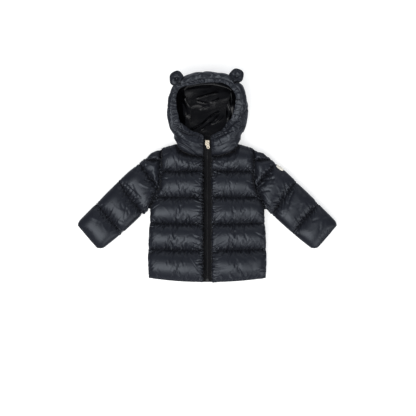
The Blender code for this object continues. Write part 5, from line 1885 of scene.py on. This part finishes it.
SLEEVE_CREASES = {  # folds that fan out from the armholes
    Side.RIGHT: [
        Crease((-127.5, -23.5), (-156.0, -2.0), 2.2, -3.0, 1.5),
        Crease((-143.0, -20.0), (-165.0, -11.0), 2.0, -2.4, -1.0),
        Crease((-128.7, -37.7), (-146.0, -24.0), 2.0, -2.6),
        Crease((-131.0, 10.0), (-160.0, 26.0), 2.4, -2.0, 2.0),
        Crease((-150.0, -30.0), (-178.0, -18.0), 3.0, 1.8, 2.0),
        Crease((-217.0, -23.0), (-187.0, -54.0), 2.6, -2.4, 3.0),
        Crease((-199.0, -22.0), (-176.0, -58.0), 2.4, -2.0, -3.0),
        Crease((-150.0, 52.0), (-141.0, 30.0), 2.4, -1.8, 1.0),
    ],
    Side.LEFT: [
        Crease((136.0, -7.0), (172.0, 5.0), 2.2, -2.8, 1.5),
        Crease((129.3, -26.0), (148.0, -2.0), 2.4, -3.0, -1.5),
        Crease((131.6, -35.3), (153.0, -16.4), 2.2, -2.6, 1.0),
        Crease((141.0, -11.7), (177.0, -7.0), 2.2, -2.6, -1.0),
        Crease((137.0, -45.0), (165.0, -38.0), 2.6, -2.0, 2.0),
        Crease((146.0, 20.0), (165.0, 31.0), 2.6, -1.8),
        Crease((206.0, -20.0), (198.0, -66.0), 3.0, -2.0, 3.0),
        Crease((228.0, -40.0), (212.0, -86.0), 3.0, -1.8, -3.0),
    ],
}
CHEEK_CREASES = {  # folds of the chin and the quilting drawn aslant over the wall
    Side.RIGHT: [
        Crease((-66.0, 116.0), (-37.0, 106.0), 2.2, -3.0, -1.5),
        Crease((-76.0, 86.0), (-31.0, 57.0), 2.4, -2.6, 2.0),
        Crease((-60.0, 96.0), (-22.0, 84.0), 4.0, 1.6, -2.0),
        Crease((-92.0, 128.0), (-62.0, 112.0), 2.0, -2.4, 1.0),
        Crease((-70.0, 92.0), (-44.0, 72.0), 3.0, 1.8, 1.0),
    ],
    Side.LEFT: [
        Crease((23.0, 99.0), (69.0, 116.0), 2.2, -2.8, 1.5),
        Crease((106.0, 184.0), (72.0, 140.0), 1.9, -3.4, -3.0),
        Crease((72.0, 140.0), (44.0, 131.0), 2.0, -2.8, 1.0),
        Crease((101.5, 211.0), (84.0, 200.0), 1.8, -2.4, 0.0),
        Crease((30.0, 80.0), (78.0, 96.0), 4.0, 1.8, 3.0),
        Crease((40.0, 66.0), (74.0, 84.0), 2.6, -2.0, 1.0),
    ],
}

CROWN_CREASES = [  # folds of the crown's wall, in millimetres along the brow and away from it
    Crease((12.0, -20.0), (42.0, -50.0), 3.0, -2.4, 3.0),
    Crease((60.0, -14.0), (74.0, -62.0), 3.2, -2.2, -4.0),
    Crease((96.0, -24.0), (128.0, -54.0), 3.0, -2.4, 2.0),
    Crease((30.0, -62.0), (84.0, -70.0), 3.4, 1.8, 3.0),
    Crease((104.0, -66.0), (138.0, -74.0), 3.0, -1.6, -2.0),
]


def hood_linings(hood: Hood, cheeks: dict, centre: Skin) -> list[tuple[Object, str]]:
    """Makes the three linings of the hood.

    Args:
        hood: The hood.
        cheeks: The skins of its sides.
        centre: The skin of its centre panel.

    Returns:
        Each lining with the solid that it stands for.
    """
    middle = [
        Crease((-26.0, 207.0), (27.0, 221.0), 1.3, 3.4, 1.0),
        Crease((-26.0, 199.0), (0.0, 194.0), 1.2, 2.6, -1.0),
        Crease((10.0, 196.0), (30.0, 206.0), 1.8, 2.0, -2.0),
        Crease((-46.0, 123.0), (-7.0, 145.0), 1.5, 3.2, -3.0),
        Crease((-9.0, 143.0), (30.0, 171.0), 1.4, 3.0, 2.0),
        Crease((-15.0, 123.0), (30.0, 163.0), 1.3, 2.8, -2.0),
        Crease((-18.0, 176.0), (4.0, 187.0), 2.4, 1.0, 2.0),
        Crease((12.0, 138.0), (42.0, 160.0), 2.2, 1.2, -3.0),
    ]
    folds = {
        Side.RIGHT: [
            Crease((-40.0, 160.0), (-43.0, 132.0), 2.6, 3.2, 1.0),
            Crease((-76.0, 211.0), (-56.0, 207.0), 3.0, 2.4, -2.0),
            Crease((-66.0, 196.0), (-58.0, 160.0), 4.0, 2.6, 3.0),
            Crease((-74.0, 182.0), (-70.0, 150.0), 3.0, 2.0, -2.0),
        ],
        Side.LEFT: [
            Crease((58.0, 206.0), (64.0, 178.0), 3.0, 2.8, -2.0),
            Crease((66.0, 190.0), (56.0, 152.0), 3.2, 2.6, 3.0),
            Crease((50.0, 170.0), (46.0, 138.0), 2.4, 2.4, 0.0),
        ],
    }
    made = [(hood.lining(centre, "crown_lining", 0.0, middle, 53, 0.983), "lining_centre")]
    for side, slump in ((Side.RIGHT, 27.0), (Side.LEFT, 20.0)):
        piece = hood.lining(cheeks[side], f"cheek_lining_{side.label}", slump, folds[side], 50 + side.value)
        made.append((piece, f"lining_{side.label}"))
    return made


def dress_before(fronts: dict, back: Skin, tubes: dict, cheeks: dict, centre: Skin) -> None:
    """Adds the broad folds that the down then fills.

    Args:
        fronts: The skins of the fronts.
        back: The skin of the back.
        tubes: The skins of the sleeves.
        cheeks: The skins of the hood's sides.
        centre: The skin of its centre panel.
    """
    broad = Gathers(spacing=14.0, reach=17.0, depth=0.8, width=3.0)
    for side, skin in fronts.items():
        lean = 0.35 * side.value
        dress_quilt(skin, 100 + side.value, replace(broad, slant=lean), replace(broad, slant=-0.5 * lean))
        at_zip = replace(broad, spacing=12.0, reach=20.0, depth=1.3, slant=0.0, seed=70 + side.value)
        dress_column(skin, 0, at_zip)
        dress_column(skin, -1, replace(broad, reach=18.0, seed=80 + side.value))
    dress_quilt(back, 200, replace(broad, reach=18.0), replace(broad, reach=20.0))
    for side, skin in tubes.items():
        dress_quilt(skin, 300 + side.value, broad, replace(broad, reach=28.0, slant=-0.2))
    for side, skin in cheeks.items():
        short = replace(broad, reach=14.0)
        dress_quilt(skin, 400 + side.value, short, short)
        ramp = smooth_step((skin.inner[:, -1, 1] - 108.0) / 24.0)
        Hood.roll(skin, 4.5, 26.0, ramp)
    Hood.roll(centre, 6.0, 18.0)
    brow = Gathers(spacing=17.0, reach=34.0, depth=5.4, width=4.2, slant=0.3, seed=99, flare=0.5)
    dress_column(centre, -1, brow)


def dress_after(hood: Hood, fronts: dict, back: Skin, tubes: dict, cheeks: dict, centre: Skin) -> None:
    """Adds the fine puckers of the taut thread, once the down has filled the panels.

    Args:
        hood: The hood.
        fronts: The skins of the fronts.
        back: The skin of the back.
        tubes: The skins of the sleeves.
        cheeks: The skins of the hood's sides.
        centre: The skin of its centre panel.
    """
    fine = Gathers(spacing=7.4, reach=20.0, depth=2.5, width=1.5, slant=0.4, flare=0.4, scatter=0.4)
    for side, skin in fronts.items():
        sign = side.value
        above = replace(fine, reach=15.0, depth=2.0, slant=-0.2 * sign)
        dress_quilt(skin, 600 + sign, replace(fine, slant=0.5 * sign), above)
        at_zip = replace(fine, spacing=6.2, reach=26.0, depth=2.8 - 0.5 * sign, slant=0.1, seed=670 + sign)
        dress_column(skin, 0, at_zip)
        dress_column(skin, -1, replace(fine, spacing=9.0, reach=20.0, onset=5.0, seed=680 + sign))
        dress_row(skin, 0, replace(fine, spacing=6.0, reach=11.0, depth=0.8, onset=3.0, seed=690 + sign))
        at_hem = replace(fine, spacing=13.0, reach=44.0, depth=1.3, width=2.0, slant=0.2, seed=695 + sign)
        dress_row(skin, -1, at_hem)
        spot = ((75.0 * sign, -90.0), (60.0, 170.0))
        skin.press(Scatter(*spot, 18, 60.0, 30.0, (20.0, 46.0), 3.4, 0.4, 40 + sign).creases())
    dress_quilt(back, 700, fine, replace(fine, reach=14.0))
    for column in (0, -1):
        dress_column(back, column, replace(fine, spacing=9.0, reach=18.0, onset=6.0, seed=710 + column))
    lain_on = Scatter((0.0, -90.0), (140.0, 170.0), 60, 70.0, 40.0, (20.0, 50.0), 3.0, 0.7, 43)
    back.press(lain_on.creases(), up=False)
    for side, skin in tubes.items():
        sign = side.value
        dress_quilt(skin, 800 + sign, replace(fine, reach=22.0), replace(fine, reach=20.0, slant=-0.3))
        for row, move in enumerate((1.7, 1.3, 0.8, 0.3)):
            skin.outer[row, :, 0] -= sign * move
        dress_row(skin, 0, replace(fine, reach=30.0, depth=1.8, width=1.9, onset=2.0, seed=810 + sign))
        dress_row(skin, -1, replace(fine, spacing=6.0, reach=12.0, depth=0.8, onset=3.0, seed=820 + sign))
        angle = 90.0 - 42.0 * sign
        skin.press(SLEEVE_CREASES[side])
        spot, sizes = ((220.0 * sign, -60.0), (90.0, 90.0)), (angle, 22.0, (22.0, 60.0), 2.6, 0.9)
        skin.press(Scatter(*spot, 36, *sizes, 830 + sign).creases())
        skin.press(Scatter(*spot, 40, *sizes, 840 + sign).creases(), up=False)
    for side, skin in cheeks.items():
        sign = side.value
        dress_quilt(skin, 900 + sign, replace(fine, reach=13.0), replace(fine, reach=13.0))
        dress_column(skin, 0, replace(fine, spacing=7.0, reach=14.0, seed=910 + sign))
        dress_column(skin, -1, replace(fine, spacing=6.5, reach=20.0, depth=1.4, width=1.5, seed=920 + sign))
        dress_row(skin, 0, replace(fine, spacing=6.5, reach=22.0, depth=1.3, slant=0.0, seed=930 + sign))
        skin.press(CHEEK_CREASES[side])
        hood.taper(skin, side)
        spot, angle = ((80.0 * sign, 140.0), (22.0, 30.0)), 90.0 + 48.0 * sign
        skin.press(Scatter(*spot, 40, angle, 24.0, (8.0, 26.0), 1.5, 1.3, 940 + sign).creases())
        crush_rim(skin, 1.5, 14.0, 24.0, 960 + sign)
        crush_rim(skin, 0.8, 24.0, 90.0, 964 + sign)
    at_casing = replace(fine, spacing=9.0, reach=24.0, depth=1.2, width=1.9, slant=0.1, seed=950)
    dress_column(centre, -1, at_casing)
    crush_rim(centre, 3.2, 19.0, 34.0, 970)
    crush_rim(centre, 1.5, 27.0, 110.0, 980)
    run, away = centre.from_column(-1)
    centre.push(sum(crease.lift(run, away) for crease in CROWN_CREASES))


def crush_rim(skin: Skin, depth: float, size: float, reach: float, seed: int) -> None:
    """Crumples a wall of the hood where the elastic of the face opening gathers it.

    Args:
        skin: The wall, whose last column lies at the opening.
        depth: Height of the crumples in millimetres.
        size: Width of a facet in millimetres.
        reach: How far from the opening they go.
        seed: Number that sets the pattern.
    """
    along_rim, away = skin.from_column(-1)
    share = smooth_step(1.0 + away / reach) * smooth_step(-away / 4.0)
    skin.push(depth * crumple(along_rim, 0.6 * away, size, seed) * share)


def wall_tree(skins: list[Skin]) -> BVHTree:
    """The outer faces of some skins as one search tree in metres."""
    points, faces, start = [], [], 0
    for skin in skins:
        points.append(skin.outer.reshape(-1, 3) * MM)
        faces += (skin.quads() + start).tolist()
        start += len(points[-1])
    return BVHTree.FromPolygons(np.vstack(points).tolist(), faces)


def main() -> None:
    """Builds the jacket and its studio."""
    body = Body()
    hood = Hood(body)
    fronts = {side: body.front(side) for side in Side}
    back = body.back()
    sleeves = {side: Sleeve(body, side) for side in Side}
    tubes = {side: sleeves[side].skin() for side in Side}
    cheeks = {side: hood.side(side) for side in Side}
    centre = hood.centre()
    linings = hood_linings(hood, cheeks, centre)
    walls = [
        (cheeks[Side.RIGHT].inner, cheeks[Side.RIGHT].out),
        (centre.inner, centre.out),
        (cheeks[Side.LEFT].inner[::-1], cheeks[Side.LEFT].out[::-1]),
    ]
    casing = hood.casing(walls)

    dress_before(fronts, back, tubes, cheeks, centre)
    padded = [*fronts.values(), back, *tubes.values(), *cheeks.values(), centre]
    DownFill(padded).run()
    for skin in padded:
        skin.refine(3 if "front" in skin.name else 2)
    dress_after(hood, fronts, back, tubes, cheeks, centre)
    for skin in padded:
        skin.settle()

    tree = wall_tree([*cheeks.values(), centre])
    stitching = Stitching()
    for skin in [*fronts.values(), *tubes.values(), *cheeks.values(), back]:
        for row in skin.seam_rows:
            stitching.sew(skin.outer[row] + skin.out[row] * 0.25, skin.out[row])
    finish_piece(stitching.make("seam_stitches"), THREAD, "jacket")
    for skin in [*fronts.values(), back, *cheeks.values(), centre]:
        node = {"back_shell": "body_back"}.get(skin.name, skin.name.replace("_shell", ""))
        finish_piece(skin.close(SHELL), SHELL, "jacket", node)
    for side, skin in tubes.items():
        made = finish_piece(sleeves[side].closed(skin), SHELL, "jacket", f"sleeve_{side.label}")
    badge = Badge()
    row = float(np.interp(badge.position, *sleeves[Side.LEFT].rows_at()))
    finish_piece(badge.make(tubes[Side.LEFT], 2 * row), FELT, "jacket", "sleeve_badge")
    for made, node in linings:
        finish_piece(made, LINING, "jacket", node)
    finish_piece(casing, SHELL, "jacket", "hood_rim_casing")
    ears = (
        ("ear_right", Ear("round_ear_right", (-80.5, 254.3, 68.0), 128.0, 6.0, 3)),
        ("ear_left", Ear("round_ear_left", (76.0, 261.0, 68.0), 52.0, 6.0, 8)),
    )
    for node, ear in ears:
        finish_piece(ear.make(tree), SHELL, "jacket", node)
    zip_fastener = Zip()
    finish_piece(zip_fastener.teeth(), MOULDING, "jacket", "zip_chain")
    for side in Side:
        finish_piece(zip_fastener.tape_strip(side), TAPE, "jacket", f"zip_tape_{side.label}")
    for node, finish in (("zip_box", MOULDING), ("zip_slider", METAL), ("zip_pull", METAL)):
        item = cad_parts[node]
        item.data.materials.clear()
        item.data.materials.append(finish.material())
    Studio().build()


if __name__ == "__main__":
    logging.basicConfig(level=logging.INFO, format="%(name)s: %(message)s")
    main()
